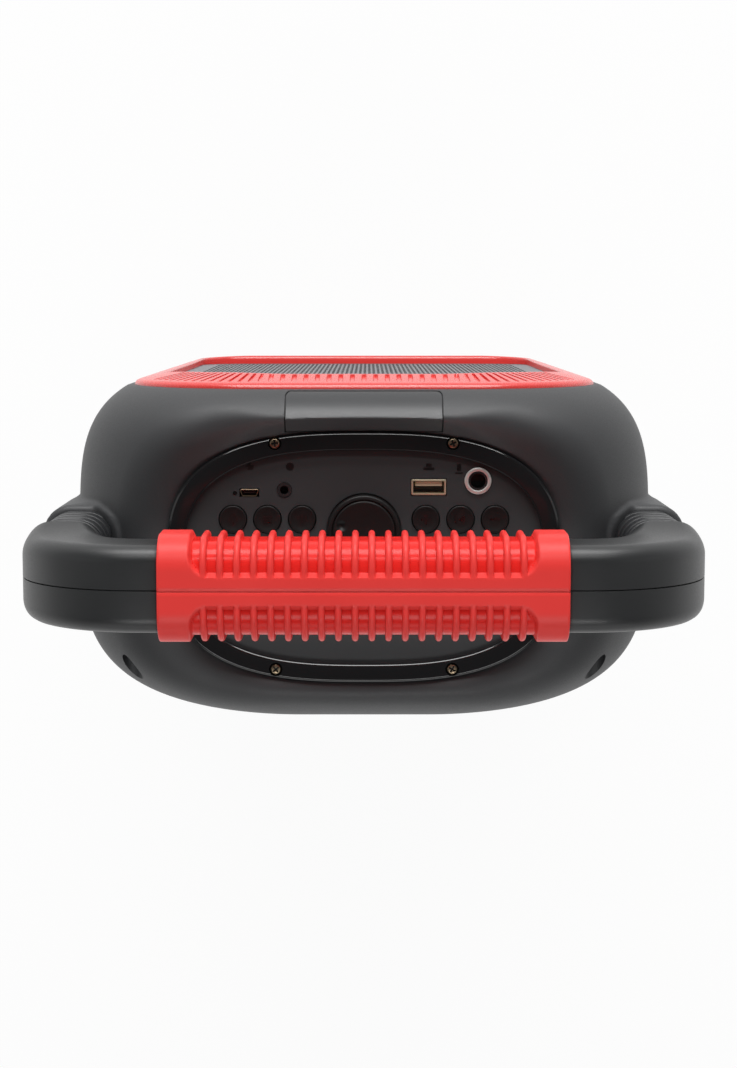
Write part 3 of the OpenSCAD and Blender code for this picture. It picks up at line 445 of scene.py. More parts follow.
def dish_height(x, y):
    """Level of the sloping ring of the top that leads down to the panel."""
    def outside(u):
        across = x / ((RING_A + DISH_GAP) * (1 + DISH_WIDE_X / RING_A * u))
        along = (y - PANEL_Y) / ((RING_B + DISH_GAP) * (1 + DISH_WIDE_Y / RING_B * u))
        return np.abs(across) ** RING_POWER + np.abs(along) ** RING_POWER > 1

    u = edge_of(outside, -1.0, 8.0, np.shape(x), 34)
    return PANEL_Z - DISH_SUNK + np.where(u > 0, DISH_RISE * u, np.maximum(DISH_WALL * u, -DISH_DEEP))


def cabinet_field(x, y, z):
    """Negative inside the cabinet."""
    w, lo, hi = section(y)
    body = rounded(x, z, w, lo, hi, LOW_ROUND * w, np.minimum(HIGH_ROUND * w, (hi - lo) / 2 - 1))
    rim = RIM_SOFT + RIM_SOFT_SIDE * smooth(*RIM_SIDE, np.abs(x)) + RIM_SOFT_REAR * smooth(*RIM_REAR, y)
    solid = soft_max(body, (z - dish_height(x, y)) * DISH_SHARE, rim)
    drop = np.clip((BOSS_TAPER_TOP - z) / BOSS_TAPER_H, 0, 1)
    wide, deep = BOSS_W - BOSS_SHRINK * drop, BOSS_D - BOSS_SHRINK * drop
    boss = rounded(np.abs(x) - BOSS_X + BOSS_LEAN * drop, y - HANDLE_Y, wide, -deep, deep, BOSS_R, BOSS_R)
    boss = soft_max(boss, BOSS_LOW - z, BOSS_SOFT_FOOT)
    solid = soft_min(solid, soft_max(boss, z - BOSS_TOP, BOSS_SOFT_TOP), BOSS_SOFT_ROOT)
    return soft_min(solid, soft_max(boss, body - SKIRT_PROUD, SKIRT_SOFT), SKIRT_SOFT_ROOT)


# Rays leave this height and cross a rough outline, closer together by the bosses and the dish
HUB_Z = 250.0


def run(*stops):
    """Points along a line of stops, each (point, number of steps to it)."""
    points = [np.array(stops[0], float)]
    for point, steps in stops[1:]:
        a = points[-1]
        points += [a + (np.array(point, float) - a) * (i + 1) / steps for i in range(steps)]
    return np.array(points)


RAY_REACH = 330.0
half = run((0, 8), ((80, 8), 10), ((126, 54), 12), ((126, 290), 16), ((134, 368), 40), ((133, 379), 14),
           ((98, 393), 44), ((80, 396), 26), ((40, 405), 26), ((0, 408), 14))
aims = np.concatenate([half, half[-2:0:-1] * [-1, 1]]) - [0, HUB_Z]
aims /= np.linalg.norm(aims, axis=1)[:, None]


def cast(field, rows):
    """Where rays from the hub leave the field, for each depth in rows."""
    y = np.repeat(np.asarray(rows, float)[:, None], len(aims), 1)
    t = edge_of(lambda t: field(aims[:, 0] * t, y, HUB_Z + aims[:, 1] * t) < 0, 0.0, RAY_REACH, y.shape, 44)
    return np.stack([aims[:, 0] * t, y, HUB_Z + aims[:, 1] * t], -1)


FRONT_W, FRONT_LO, FRONT_HI = (round(float(v), 1) for v in section(np.array(FLANGE_Y)))
R_HI, R_LO = round(HIGH_ROUND * FRONT_W, 1), round(LOW_ROUND * FRONT_W, 1)


def front_loop(inset, y):
    """The front outline drawn in by an inset, at a depth."""
    return cast(lambda x, _, z: rounded(x, z, FRONT_W - inset, FRONT_LO + inset, FRONT_HI - inset,
                                        R_LO - inset, R_HI - inset), [y])


# Depths of the shell's rows, closer together where its form turns: (from, to, rows)
row_bands = [(-50, -28, 16), (-28, -16, 22), (-16, 25, 22), (25, 36, 20), (36, 52, 14)]
FIRST_ROW = FLANGE_Y + 0.4
front_rows = FIRST_ROW + (row_bands[0][0] - FIRST_ROW) * np.linspace(0, 1, 30, endpoint=False) ** 1.5
middle_rows = [np.linspace(start, stop, rows, endpoint=False) for start, stop, rows in row_bands]
rear_rows = REAR_Y * np.sin(np.radians(np.linspace(43.2, 86, 44)))
depths = np.concatenate([front_rows, *middle_rows, rear_rows])
# Mouth of the shell behind the frame, from the inside out: (inset, depth)
MOUTH_INSET, MOUTH_DEEP, REBATE_INSET, REBATE = 10, 20, 3.3, 2.5
mouth = [(MOUTH_INSET, MOUTH_DEEP), (MOUTH_INSET, FLANGE_Y + REBATE), (REBATE_INSET, FLANGE_Y + REBATE),
         (REBATE_INSET, FLANGE_Y + 0.3), (REBATE_INSET - 0.3, FLANGE_Y), (0.5, FLANGE_Y)]
skin = np.concatenate([front_loop(inset, y) for inset, y in mouth] + [cast(cabinet_field, depths)])
cabinet = build("cabinet_shell", tube(skin), charcoal, 40)

# Flush plate in the front shoulder: pocket and plate share one outline
INLAY_HALF, INLAY_FRONT, INLAY_BACK, INLAY_R = 32.5, -68.7, -52.5, 2.2
INLAY_GAP, INLAY_T, POCKET_DEEP, POCKET_HIGH = 0.3, 1.3, 2.0, 40


def inlay_half(y, grow):
    """Half width of the plate at depth y, with round front corners."""
    y0 = INLAY_FRONT - grow + INLAY_R
    return INLAY_HALF + grow - INLAY_R + np.sqrt(np.maximum(INLAY_R ** 2 - np.minimum(y - y0, 0) ** 2, 0))


def inlay_rows(grow):
    """Depths of the plate's rows, closer together round its front corners."""
    front = INLAY_FRONT - grow
    return np.concatenate([front + INLAY_R * (1 - np.cos(np.radians(np.linspace(4, 90, 8)))),
                           np.linspace(front + INLAY_R + 0.3, INLAY_BACK, 40)])


def shoulder(x, y):
    """Top of the plate: the shoulder up to its crest, then the slope to the ring."""
    return soft_min(section(y)[2], dish_height(x, y), 0.5)


rows = inlay_rows(INLAY_GAP)
# Gap behind the plate
rows[-1] += 0.4
pocket = []
for y in rows:
    w = inlay_half(y, INLAY_GAP)
    low = float(shoulder(np.array(0.0), np.array(y))) - POCKET_DEEP
    high = PANEL_Z + POCKET_HIGH
    pocket.append([(-w, y, low), (w, y, low), (w, y, high), (-w, y, high)])
pocket = build("pocket_cutter", tube(np.array(pocket)))

wells = []
to_rear = Matrix.Rotation(-math.pi / 2, 3, "X")
for side in (-1, 1):
    rod = lathe([(0, 0), (WELL_R, 0), (WELL_R, WELL_LONG), (0, WELL_LONG)], 64)
    wells.append(build("well_cutter", moved(rod, side * WELL_X, WELL_FLOOR, WELL_Z, to_rear)))
cut(cabinet, [pocket] + wells, 40)
put(cabinet, "housing", "cabinet_plastic", "cabinet")

plate = []
# Broken edge of the plate at its sides: (distance inward, drop); in front, its first rows drop
edge = np.array([(0.0, 0.45), (0.12, 0.18), (0.35, 0.0)])
FRONT_EDGE, FRONT_EDGE_STEP = 0.4, 0.25
inner = np.linspace(-1, 1, 41)
for k, y in enumerate(inlay_rows(0)):
    w = inlay_half(y, 0)
    x = np.concatenate([-w + edge[:, 0], inner * (w - 0.8), (w - edge[:, 0])[::-1]])
    sink = np.concatenate([edge[:, 1], np.zeros(len(inner)), edge[::-1, 1]])
    sink += max(0, FRONT_EDGE - FRONT_EDGE_STEP * k)
    top = shoulder(x, np.full(x.shape, y)) - sink
    low = top.min() - INLAY_T
    plate.append([(a, y, b) for a, b in zip(x, top)] + [(w, y, low), (-w, y, low)])
inlay = build("shoulder_plate", tube(np.array(plate)), plate_abs, 28)
put(inlay, "housing", "inlay_plastic", "top_inlay")


# Opening of the red frame: narrow bars at the sides, a wide one with slots on top
SIDE_BAND, TOP_BAND, LOW_BAND = 9.5, 22.3, 13
OPEN_W, OPEN_HI, OPEN_LO = FRAME_W - SIDE_BAND, FRAME_TOP - TOP_BAND, FRAME_LOW + LOW_BAND
OPEN_R_HI, OPEN_R_LO = 62.0, 24.0


def into_opening(x, z, grow):
    """Distance to the frame's opening made larger by grow, negative inside."""
    return rounded(x, z, OPEN_W + grow, OPEN_LO - grow, OPEN_HI + grow, OPEN_R_LO + grow, OPEN_R_HI + grow)


# Red frame: a swept section with scooped slots, satin on the face and matt on the upright wall of its opening
FRAME_R_HI, FRAME_R_LO = R_HI - REVEAL, R_LO - REVEAL
SHEET_Y, SHEET_LAP = FLANGE_Y - 0.55, 3.1
FACE_IN, FACE_OUT, CREST_LAND, CREST_OUT = 3.2, 2.6, 2.2, 6.35
LEAN, LEAN_SIDE, LEAN_LOW = 0.1775, 0.058, 0.1
SIDE_STARTS, LOW_STARTS = (FRAME_TOP - 10, FRAME_TOP - 60), (FRAME_LOW + 110, FRAME_LOW + 20)
CREST_SOFT, CREST_SOFT_LOW = 0.7, 1.6
WALL_STEEP = 0.4
# Rounded outer lip: (distance inward, depth)
frame_lip = np.array([(0, 0.3), (0, -0.2), (0.15, -0.8), (0.5, -1.35), (1.0, -1.8), (1.7, -2.2),
                      (2.4, -2.45)])
# Points up the slope as shares of its length, closer together by the slots' ends
slope_shares = np.array([0, 0.05, 0.12, 0.2, 0.3, 0.42, 0.54, 0.65, 0.74,
                         0.81, 0.86, 0.89, 0.912, 0.93, 0.942, 0.955, 0.975, 1])
SLOT_PITCH, SLOT_START, SLOT_STOP, FAN_START = 4.75, 4.2, 3.1, 27.0
SLOT_SUNK, SLOT_SUNK_SIDE, SLOT_SCOOP = 0.9, 1.5, 0.45
# Half width of a slot, its soft edge and the points across its cell, as shares of the pitch
SLOT_HALF, SLOT_EDGE = 0.21, 0.055
slot_marks = np.array([0.0, 0.22, 0.29, 0.345, 0.42, 0.5, 0.58, 0.655, 0.71, 0.78])


def frame_path():
    """Along the outer edge: points, directions inward and place in a slot's cell, 0.5 where there is none."""
    path = []

    def straight(start, stop, inward, slotted):
        start, stop = np.array(start, float), np.array(stop, float)
        cells = 2 * math.floor(np.linalg.norm(stop - start) / SLOT_PITCH / 2) + 1
        for i in range(cells):
            for mark in slot_marks if slotted else [0.0]:
                point = start + (stop - start) * (i + mark) / cells
                path.append((point, inward, mark - 0.5 if slotted else 0.5))

    def corner(x, z, r, turn):
        cells = round(r * math.pi / 2 / SLOT_PITCH)
        for i in range(cells):
            for mark in slot_marks:
                a = turn + 90 * (i + mark) / cells
                out = np.array([math.cos(math.radians(a)), math.sin(math.radians(a))])
                middle = turn + 90 * (i + 0.5) / cells
                slotted = FAN_START < middle < 180 - FAN_START
                path.append((np.array([x, z]) + r * out, -out, mark - 0.5 if slotted else 0.5))

    w, hi, lo, rh, rl = FRAME_W, FRAME_TOP, FRAME_LOW, FRAME_R_HI, FRAME_R_LO
    straight((w, lo + rl), (w, hi - rh), np.array([-1.0, 0]), False)
    corner(w - rh, hi - rh, rh, 0)
    straight((w - rh, hi), (-w + rh, hi), np.array([0, -1.0]), True)
    corner(-w + rh, hi - rh, rh, 90)
    straight((-w, hi - rh), (-w, lo + rl), np.array([1.0, 0]), False)
    corner(-w + rl, lo + rl, rl, 180)
    straight((-w + rl, lo), (w - rl, lo), np.array([0, 1.0]), False)
    corner(w - rl, lo + rl, rl, 270)
    points, inward, cells = zip(*path)
    return np.array(points), np.array(inward), np.array(cells)


def slot_depth(p, cell, end, sunk):
    """How deep the slot lies under the slope: from nothing by the lip to a steep round end by the rim."""
    wide = SLOT_HALF * np.sqrt(np.clip(1 - np.maximum(p - end + 1, 0) ** 2, 0, 1))
    groove = sunk * np.clip((p - SLOT_START) / (end - SLOT_START), 0, 1) ** SLOT_SCOOP
    return groove * smooth(0, SLOT_EDGE, wide - np.abs(cell)) * (p < end)


def frame_loops():
    """Section of the frame at each point of its path: lip, slope with the slots, rim, inner wall and back."""
    points, inward, cells = frame_path()

    def on_frame(band):
        x, z = (points + inward * band[:, None]).T
        return into_opening(x, z, 0) >= 0

    count = len(points)
    band = edge_of(on_frame, 5.0, 30.0, count)[:, None]
    cells, z, across = cells[:, None], points[:, 1:], np.abs(inward[:, :1])
    lean = LEAN + LEAN_SIDE * smooth(*SIDE_STARTS, z) + LEAN_LOW * smooth(*LOW_STARTS, z)
    slope_w = band - FACE_IN - CREST_LAND
    rim = np.maximum(-FACE_OUT - slope_w * lean, -CREST_OUT)
    on_slope = FACE_IN + slope_w * slope_shares
    slots = slot_depth(on_slope, cells, band - SLOT_STOP, SLOT_SUNK + SLOT_SUNK_SIDE * across)
    slope = -FACE_OUT + (rim + FACE_OUT) * slope_shares + slots
    crest = np.radians([8, 24, 40, 56, 72, 90])
    soft = CREST_SOFT + CREST_SOFT_LOW * np.clip(inward[:, 1:], 0, 1)
    foot = np.full_like(band, SHEET_Y - FLANGE_Y - 0.03)
    back = np.full_like(band, -0.05)
    p = np.hstack([np.tile(frame_lip[:, 0], (count, 1)), on_slope, band - soft * (1 - np.sin(crest)),
                   band + 0.1, band - SHEET_LAP, band - SHEET_LAP])
    d = np.hstack([np.tile(frame_lip[:, 1], (count, 1)), slope, rim + soft * (1 - np.cos(crest)),
                   foot, foot, back])
    return np.stack([points[:, :1] + inward[:, :1] * p, FLANGE_Y + d, points[:, 1:] + inward[:, 1:] * p], -1)


grille_frame = build("slotted_frame", hoop(frame_loops()), frame_coral, 38)
second_material(grille_frame, coral, lambda centre, normal: (
    abs(normal.y) < WALL_STEEP and into_opening(centre.x, centre.z, 0) < 0.5))
put(grille_frame, "housing", "coral_plastic", "grille_frame")


# Repeated shapes: points with a kind, each replaced by one of two shapes

def repeat_tree():
    """Nodes that put one of two shapes on each point, weld them and give them their two materials, the second
    painted as shade on the faces that a stored attribute picks.
    """
    tree = bpy.data.node_groups.new("repeat_shapes", "GeometryNodeTree")
    face = tree.interface
    face.new_socket("Points", in_out="INPUT", socket_type="NodeSocketGeometry")
    for name in ("Shape", "Other shape"):
        face.new_socket(name, in_out="INPUT", socket_type="NodeSocketObject")
    for name in ("Material", "Inner material"):
        face.new_socket(name, in_out="INPUT", socket_type="NodeSocketMaterial")
    face.new_socket("Weld distance", in_out="INPUT", socket_type="NodeSocketFloat")
    face.new_socket("Geometry", in_out="OUTPUT", socket_type="NodeSocketGeometry")
    nodes = tree.nodes
    ins = add(nodes, "NodeGroupInput").outputs
    stored = "GeometryNodeInputNamedAttribute"
    kind = add(nodes, stored, {"Name": "kind"}, data_type="INT").outputs["Attribute"]
    turn = add(nodes, stored, {"Name": "turn"}, data_type="FLOAT_VECTOR").outputs["Attribute"]
    inside = add(nodes, stored, {"Name": "inside"}, data_type="BOOLEAN").outputs["Attribute"]
    dots = add(nodes, "GeometryNodeMeshToPoints", {"Mesh": ins["Points"]}).outputs["Points"]
    join = add(nodes, "GeometryNodeJoinGeometry")
    for number, name in enumerate(("Shape", "Other shape")):
        chosen = add(nodes, "FunctionNodeCompare", data_type="INT", operation="EQUAL")
        for socket in chosen.inputs:
            if socket.name == "A" and socket.type == "INT":
                tree.links.new(kind, socket)
            if socket.name == "B" and socket.type == "INT":
                socket.default_value = number
        shape = add(nodes, "GeometryNodeObjectInfo", {"Object": ins[name]}).outputs["Geometry"]
        copies = add(nodes, "GeometryNodeInstanceOnPoints",
                     {"Points": dots, "Selection": chosen.outputs["Result"], "Instance": shape,
                      "Rotation": turn})
        tree.links.new(copies.outputs["Instances"], join.inputs["Geometry"])
    real = add(nodes, "GeometryNodeRealizeInstances", {"Geometry": join.outputs["Geometry"]})
    weld = add(nodes, "GeometryNodeMergeByDistance",
               {"Geometry": real.outputs["Geometry"], "Distance": ins["Weld distance"]})
    dyed = add(nodes, "GeometryNodeSetMaterial",
               {"Geometry": weld.outputs["Geometry"], "Material": ins["Material"]})
    # Faces picked by the stored attribute take a dark material as painted shade
    shade_painted = add(nodes, "GeometryNodeSetMaterial",
                {"Geometry": dyed.outputs["Geometry"], "Selection": inside,
                 "Material": ins["Inner material"]})
    add(nodes, "NodeGroupOutput", {"Geometry": shade_painted.outputs["Geometry"]})
    return tree


REPEAT = repeat_tree()


def repeated(name, places, shape, material, other=None, kinds=None, turns=None, weld=0.0,
             inner=None, inside=None):
    """One mesh with a shape, or another, at each place; the faces that the test picks take the inner
    material, painted on as shade.
    """
    mesh = bpy.data.meshes.new(name)
    mesh.from_pydata((np.asarray(places, float) * MM).tolist(), [], [])
    kinds = np.zeros(len(places), int) if kinds is None else kinds
    turns = np.zeros((len(places), 3)) if turns is None else np.asarray(turns, float)
    mesh.attributes.new("kind", "INT", "POINT").data.foreach_set("value", kinds)
    mesh.attributes.new("turn", "FLOAT_VECTOR", "POINT").data.foreach_set("vector", turns.ravel())
    obj = bpy.data.objects.new(name, mesh)
    scene.collection.objects.link(obj)
    models = [build(name + "_shape", s) for s in (shape, other) if s]
    for model in models:
        picked = [bool(inside and inside(f.center / MM, f.normal)) for f in model.data.polygons]
        model.data.attributes.new("inside", "BOOLEAN", "FACE").data.foreach_set("value", picked)
    modifier = obj.modifiers.new("repeat", "NODES")
    modifier.node_group = REPEAT
    values = {"Shape": models[0], "Other shape": models[-1], "Material": material,
              "Inner material": inner or material, "Weld distance": weld * MM}
    for item in REPEAT.interface.items_tree:
        if item.in_out == "INPUT" and item.name in values:
            modifier[item.identifier] = values[item.name]
    bake(obj)
    for model in models:
        discard(model)
    return obj


# Grille: perforated steel, a sheet of square cells round their holes with a plain border; the holes' walls
# are painted black as shade
HOLE_PITCH, HOLE_R, HOLE_TAPER, SHEET_T = 2.3, 0.85, 0.96, 0.5
BORDER, BORDER_LAP, BORDER_SUNK = 9.0, 2.5, 0.03


def grille_cell(hole):
    """Square on the sheet's front with or without a hole, and the hole's wall."""
    corner = np.array([(1, 0, 1), (-1, 0, 1), (-1, 0, -1), (1, 0, -1)]) * HOLE_PITCH / 2
    if not hole:
        return corner, [[0, 1, 2, 3]]
    turn = np.radians(np.arange(8) * 45 + 22.5)
    ring = np.column_stack([np.cos(turn), np.sin(turn)]) * HOLE_R
    rim = ring / np.abs(ring).max(1)[:, None] * HOLE_PITCH / 2
    loops = ((rim, 0), (ring, 0), (ring * HOLE_TAPER, SHEET_T))
    verts = [np.column_stack([loop[:, 0], np.full(8, depth), loop[:, 1]]) for loop, depth in loops]
    front, wall = [], []
    for k in range(8):
        after = (k + 1) % 8
        by_corner = [] if k % 2 else [24 + k // 2]
        front.append([k] + by_corner + [after, 8 + after, 8 + k])
        wall.append([8 + k, 8 + after, 16 + after, 16 + k])
    return np.concatenate(verts + [corner]), front + wall


OPEN_MIDDLE = (OPEN_HI + OPEN_LO) / 2
columns, rows = math.ceil(OPEN_W / HOLE_PITCH), math.ceil((OPEN_HI - OPEN_LO) / 2 / HOLE_PITCH)
grid_x, grid_z = np.meshgrid(np.arange(-columns, columns + 1) * HOLE_PITCH,
                             np.arange(-rows, rows + 1) * HOLE_PITCH + OPEN_MIDDLE)
away = into_opening(grid_x, grid_z, -BORDER)
for part, sheet_rows in enumerate(np.array_split(np.arange(2 * rows + 1), 3)):
    x, z, far = grid_x[sheet_rows], grid_z[sheet_rows], away[sheet_rows]
    keep = far < HOLE_PITCH * 0.6
    places = np.column_stack([x[keep], np.full(keep.sum(), SHEET_Y), z[keep]])
    kinds = (far[keep] > -HOLE_R).astype(int)
    # The walls of the holes take black as painted shade, not the steel's grey paint
    cells = repeated("grille_%d" % part, places, grille_cell(True), grille_paint, grille_cell(False), kinds,
                     weld=0.02, inner=black_plastic_and_shade, inside=lambda centre, normal: abs(normal.y) < 0.5)
    soften(cells, 32)
    put(cells, "housing", "grille_paint")


def opening_loop(grow, depth, steps=256):
    """Loop at a distance outside the frame's opening."""
    turn = np.linspace(0, 2 * math.pi, steps, endpoint=False)
    x, z = np.cos(turn), np.sin(turn)
    r = edge_of(lambda r: into_opening(x * r, OPEN_MIDDLE + z * r, grow) < 0, 0.0, 400.0, steps)
    return np.column_stack([x * r, np.full(steps, depth), OPEN_MIDDLE + z * r])


border_section = [(-BORDER + 0.2, BORDER_SUNK), (BORDER_LAP, BORDER_SUNK), (BORDER_LAP, SHEET_T),
                  (-BORDER + 0.2, SHEET_T)]
border = np.stack([opening_loop(grow, SHEET_Y + depth) for grow, depth in border_section])
border = build("grille_border", hoop(border), grille_paint)
put(border, "housing", "grille_paint", "grille_mesh")


# Trim ring: polished band with a buffed facet on its outer edge that catches the light
RING_TOP, RING_FOOT = ring_hi[2], PANEL_TOP + 0.02
# Section from the outer foot over facet and flat to the inner chamfer: (inset, level)
ring_section = [
    (0.0, RING_FOOT), (0.0, RING_TOP - 0.48), (0.05, RING_TOP - 0.37), (0.13, RING_TOP - 0.30),
    (0.60, RING_TOP - 0.10), (0.72, RING_TOP - 0.05), (0.88, RING_TOP - 0.015), (1.1, RING_TOP),
    (RING_BAND - 0.75, RING_TOP), (RING_BAND - 0.6, RING_TOP - 0.04), (RING_BAND - 0.1, RING_TOP - 0.42),
    (RING_BAND, RING_TOP - 0.55), (RING_BAND, RING_FOOT)]


def on_facet(centre, normal):
    """Picks the outer facet all round, and the inner chamfer where it faces the front."""
    outward = normal.x * centre.x + normal.y * (centre.y - PANEL_Y) > 0
    return 0.1 < normal.z < 0.99 and (outward or normal.y < -0.1)


ring = hoop(np.stack([at_level(oval(inset), z) for inset, z in ring_section]))
ring = build("trim_ring_band", ring, ring_black, 40)
second_material(ring, ring_bevel, on_facet)
screw_lo, screw_hi = node_box("ring_screws")
HEAD_R, HEAD_H, HEAD_SUNK = 2.3, 1.6, 1.9
SINK_R, SINK_R_LOW, SINK_DEEP = 2.9, 2.5, 2.1
screw_xs = (screw_lo[0] + HEAD_R, screw_hi[0] - HEAD_R)
screw_ys = (screw_lo[1] + HEAD_R, screw_hi[1] - HEAD_R)
screw_places = [(x, y) for x in screw_xs for y in screw_ys]
sink = lathe([(0, 0), (SINK_R_LOW, 0), (SINK_R, 2.4), (SINK_R, 6), (0, 6)], 48)
cut(ring, [build("sink_cutter", moved(sink, x, y, RING_TOP - SINK_DEEP)) for x, y in screw_places], 40)
put(ring, "housing", "gloss_ring", "trim_ring")


SHANK = 1.5


def screw_shape(r, h):
    """Pan head with a cross recess."""
    neck, dome, wide, long = 0.45 * h, 0.55 * h, 0.17 * r, 0.66 * r
    profile = [(0, -SHANK), (r, -SHANK), (r, neck)] + fillet((r - dome, neck), 0, 80, dome, 5)
    head = build("head", lathe(profile + [(r * 0.35, h * 0.98), (0, h)], 40))
    cross = []
    for a, b in ((wide, long), (long, wide)):
        cross.append(build("cross", prism([(-a, -b), (a, -b), (a, b), (-a, b)], h * 0.1, h + 2)))
    cut(head, cross, 30)
    verts = np.array([v.co for v in head.data.vertices]) / MM
    faces = [list(p.vertices) for p in head.data.polygons]
    discard(head)
    return verts, faces


def painted_recess_shade(r, h):
    """Picks the floor and the walls of a screw's cross recess, where black is painted as shade."""
    return lambda centre, normal: math.hypot(centre.x, centre.y) < 0.67 * r and 0 < centre.z < 0.7 * h


def screws(name, places, r, h, turns, node):
    """Bronze screws at their places, each turned as it was driven home, with black painted as shade in their
    cross recesses.
    """
    obj = repeated(name, places, screw_shape(r, h), bronze, turns=turns,
                   inner=black_plastic_and_shade, inside=painted_recess_shade(r, h))
    soften(obj, 30)
    put(obj, "housing", "bronze_screw", node)


screws("panel_screws", [(x, y, RING_TOP - HEAD_SUNK) for x, y in screw_places], HEAD_R, HEAD_H,
       [(0, 0, math.radians(a)) for a in (24, 61, 8, 40)], "ring_screws")
WELL_HEAD_R, WELL_HEAD_H = 3.6, 2.2
screws("well_screws", [(side * WELL_X, WELL_FLOOR, WELL_Z) for side in (-1, 1)], WELL_HEAD_R, WELL_HEAD_H,
       [(-math.pi / 2, 0.4, 0), (-math.pi / 2, 1.0, 0)], "post_screws")


# Knob: side, round edge, groove and a hollow disc with a finger dimple
knob_lo, knob_hi = node_box("volume_knob")
KNOB_R, KNOB_TOP, KNOB_FOOT = (knob_hi[0] - knob_lo[0]) / 2, knob_hi[2], PANEL_TOP - 0.7
KNOB_EDGE, GROOVE_SUNK, DISC_EDGE = 0.9, 1.5, 0.5
DISC_R, DISC_HOLLOW = KNOB_R - 3.2, 0.5
DIMPLE_X, DIMPLE_Y, DIMPLE_R, DIMPLE_DEEP = 9.4, -2.6, 2.6, 1.3
r = KNOB_R
profile = [(0, KNOB_FOOT), (r - 0.4, KNOB_FOOT), (r, KNOB_FOOT + 0.4), (r, KNOB_TOP - 1.6)]
profile += fillet((r - KNOB_EDGE, KNOB_TOP - 1.6), 0, 75, KNOB_EDGE, 6) + [(r - 1.7, KNOB_TOP - 0.7)]
profile += [(r - 1.85, KNOB_TOP - 0.85), (r - 1.95, KNOB_TOP - GROOVE_SUNK),
            (r - 2.25, KNOB_TOP - GROOVE_SUNK)]
profile += [(r - 2.35, KNOB_TOP - 0.7)] + fillet((r - 2.85, KNOB_TOP - DISC_EDGE), 10, 90, DISC_EDGE, 5)
profile += [(q, KNOB_TOP - DISC_HOLLOW * (1 - (q / DISC_R) ** 2)) for q in np.linspace(DISC_R, 0, 26)]
verts, faces = lathe(profile, 144)
off = np.hypot(verts[:, 0] - DIMPLE_X, verts[:, 1] - DIMPLE_Y)
dimple = DIMPLE_DEEP * (1 - smooth(0.4, DIMPLE_R, off))
verts[:, 2] -= np.where(verts[:, 2] > KNOB_TOP - 1, dimple, 0)
knob = build("knob_cap", moved((verts, faces), 0, KNOB_Y), key_black, 36)
put(knob, "knob", "control_plastic", "volume_knob")


# Buttons with a dished top, each with a flush gloss mark
def bar(x, y, w, h):
    """Outline of a bar about its middle."""
    return [(x - w / 2, y - h / 2), (x + w / 2, y - h / 2), (x + w / 2, y + h / 2), (x - w / 2, y + h / 2)]


# Plain signs made of bars and one triangle, by the key's number
marks = {
    1: [bar(0, 0, 4.2, 0.8)],
    2: [[(-1.9, -1.7), (1.3, 0), (-1.9, 1.7)], bar(2.0, 0, 0.7, 3.4)],
    3: [bar(0, 0, 4.2, 0.8), bar(0, 1.25, 0.8, 1.7), bar(0, -1.25, 0.8, 1.7)],
    4: [bar(-1.5, -0.5, 0.8, 2.2), bar(0, 0, 0.8, 3.6), bar(1.5, -0.9, 0.8, 1.4)],
    5: [bar(0, 1.3, 4.0, 0.6), bar(0, 0.1, 4.0, 0.6), bar(0, -1.1, 4.0, 0.6)],
    6: [bar(0, 1.4, 0.8, 1.8), bar(-1.5, 0, 0.8, 1.8), bar(1.5, 0, 0.8, 1.8), bar(0, -1.5, 2.2, 0.8)],
}
KEY_R, KEY_EDGE, KEY_FOOT = 5.7, 0.45, PANEL_TOP - 3.2
KEY_TOP = node_box("button_1")[1][2]
PRINT_LOW, PRINT_TOP = KEY_TOP - 0.5, KEY_TOP - 0.24
key_profile = [(0, KEY_FOOT), (KEY_R, KEY_FOOT), (KEY_R, KEY_TOP - KEY_EDGE)]
key_profile += fillet((KEY_R - KEY_EDGE, KEY_TOP - KEY_EDGE), 10, 90, KEY_EDGE, 5)
key_profile += [(KEY_R - 1.0, KEY_TOP - 0.02), (KEY_R - 1.5, KEY_TOP - 0.22), (KEY_R * 0.4, KEY_TOP - 0.3),
                (0, KEY_TOP - 0.32)]
for number, x in enumerate(BUTTON_XS, 1):
    body = "button_%d_key" % number
    key = build("key_cap_%d" % number, moved(lathe(key_profile, 72), x, BUTTON_Y), key_black, 36)
    put(key, body, "control_plastic", "button_%d" % number)
    signs = [moved(prism(outline, PRINT_LOW, PRINT_TOP), x, BUTTON_Y) for outline in marks[number]]
    mark = build("key_mark_%d" % number, joined(*signs), mark_black)
    put(mark, body, "control_plastic")

# Marks beside the sockets: shapes of a bolt, a plug, a microphone and a disc
legend = [
    [(46.2, -36.2), (48.6, -36.2), (48.0, -37.6), (49.6, -37.6), (46.6, -40.2), (47.4, -38.2), (45.8, -38.2)],
    bar(-27, -36.7, 4.6, 1.2), bar(-27, -38.2, 2.4, 1.4),
    bar(-39.6, -37.2, 1.7, 3.0), bar(-39.6, -34.9, 3.2, 0.7),
    fillet((30.8, -37.6), 0, 345, 1.7, 24),
]
LEGEND_LOW, LEGEND_TOP = PANEL_TOP - 0.1, PANEL_TOP + 0.04
prints = [prism(outline, LEGEND_LOW, LEGEND_TOP) for outline in legend]
panel_marks = build("panel_marks", joined(*prints), mark_black)
put(panel_marks, "housing", "panel_plastic")


# Sockets: sizes as width, height, corner and skin
DATA_SOCKET = (14.5, 6.6, 0.7, 0.8)
CHARGE_SOCKET, CHARGE_NARROW = (7.8, 3.1, 0.7, 0.45), 0.2
MIC_IN, MIC_OUT, MIC_EDGE = 4.0, 5.6, 0.3
SOCKET_FLOOR = 1.0


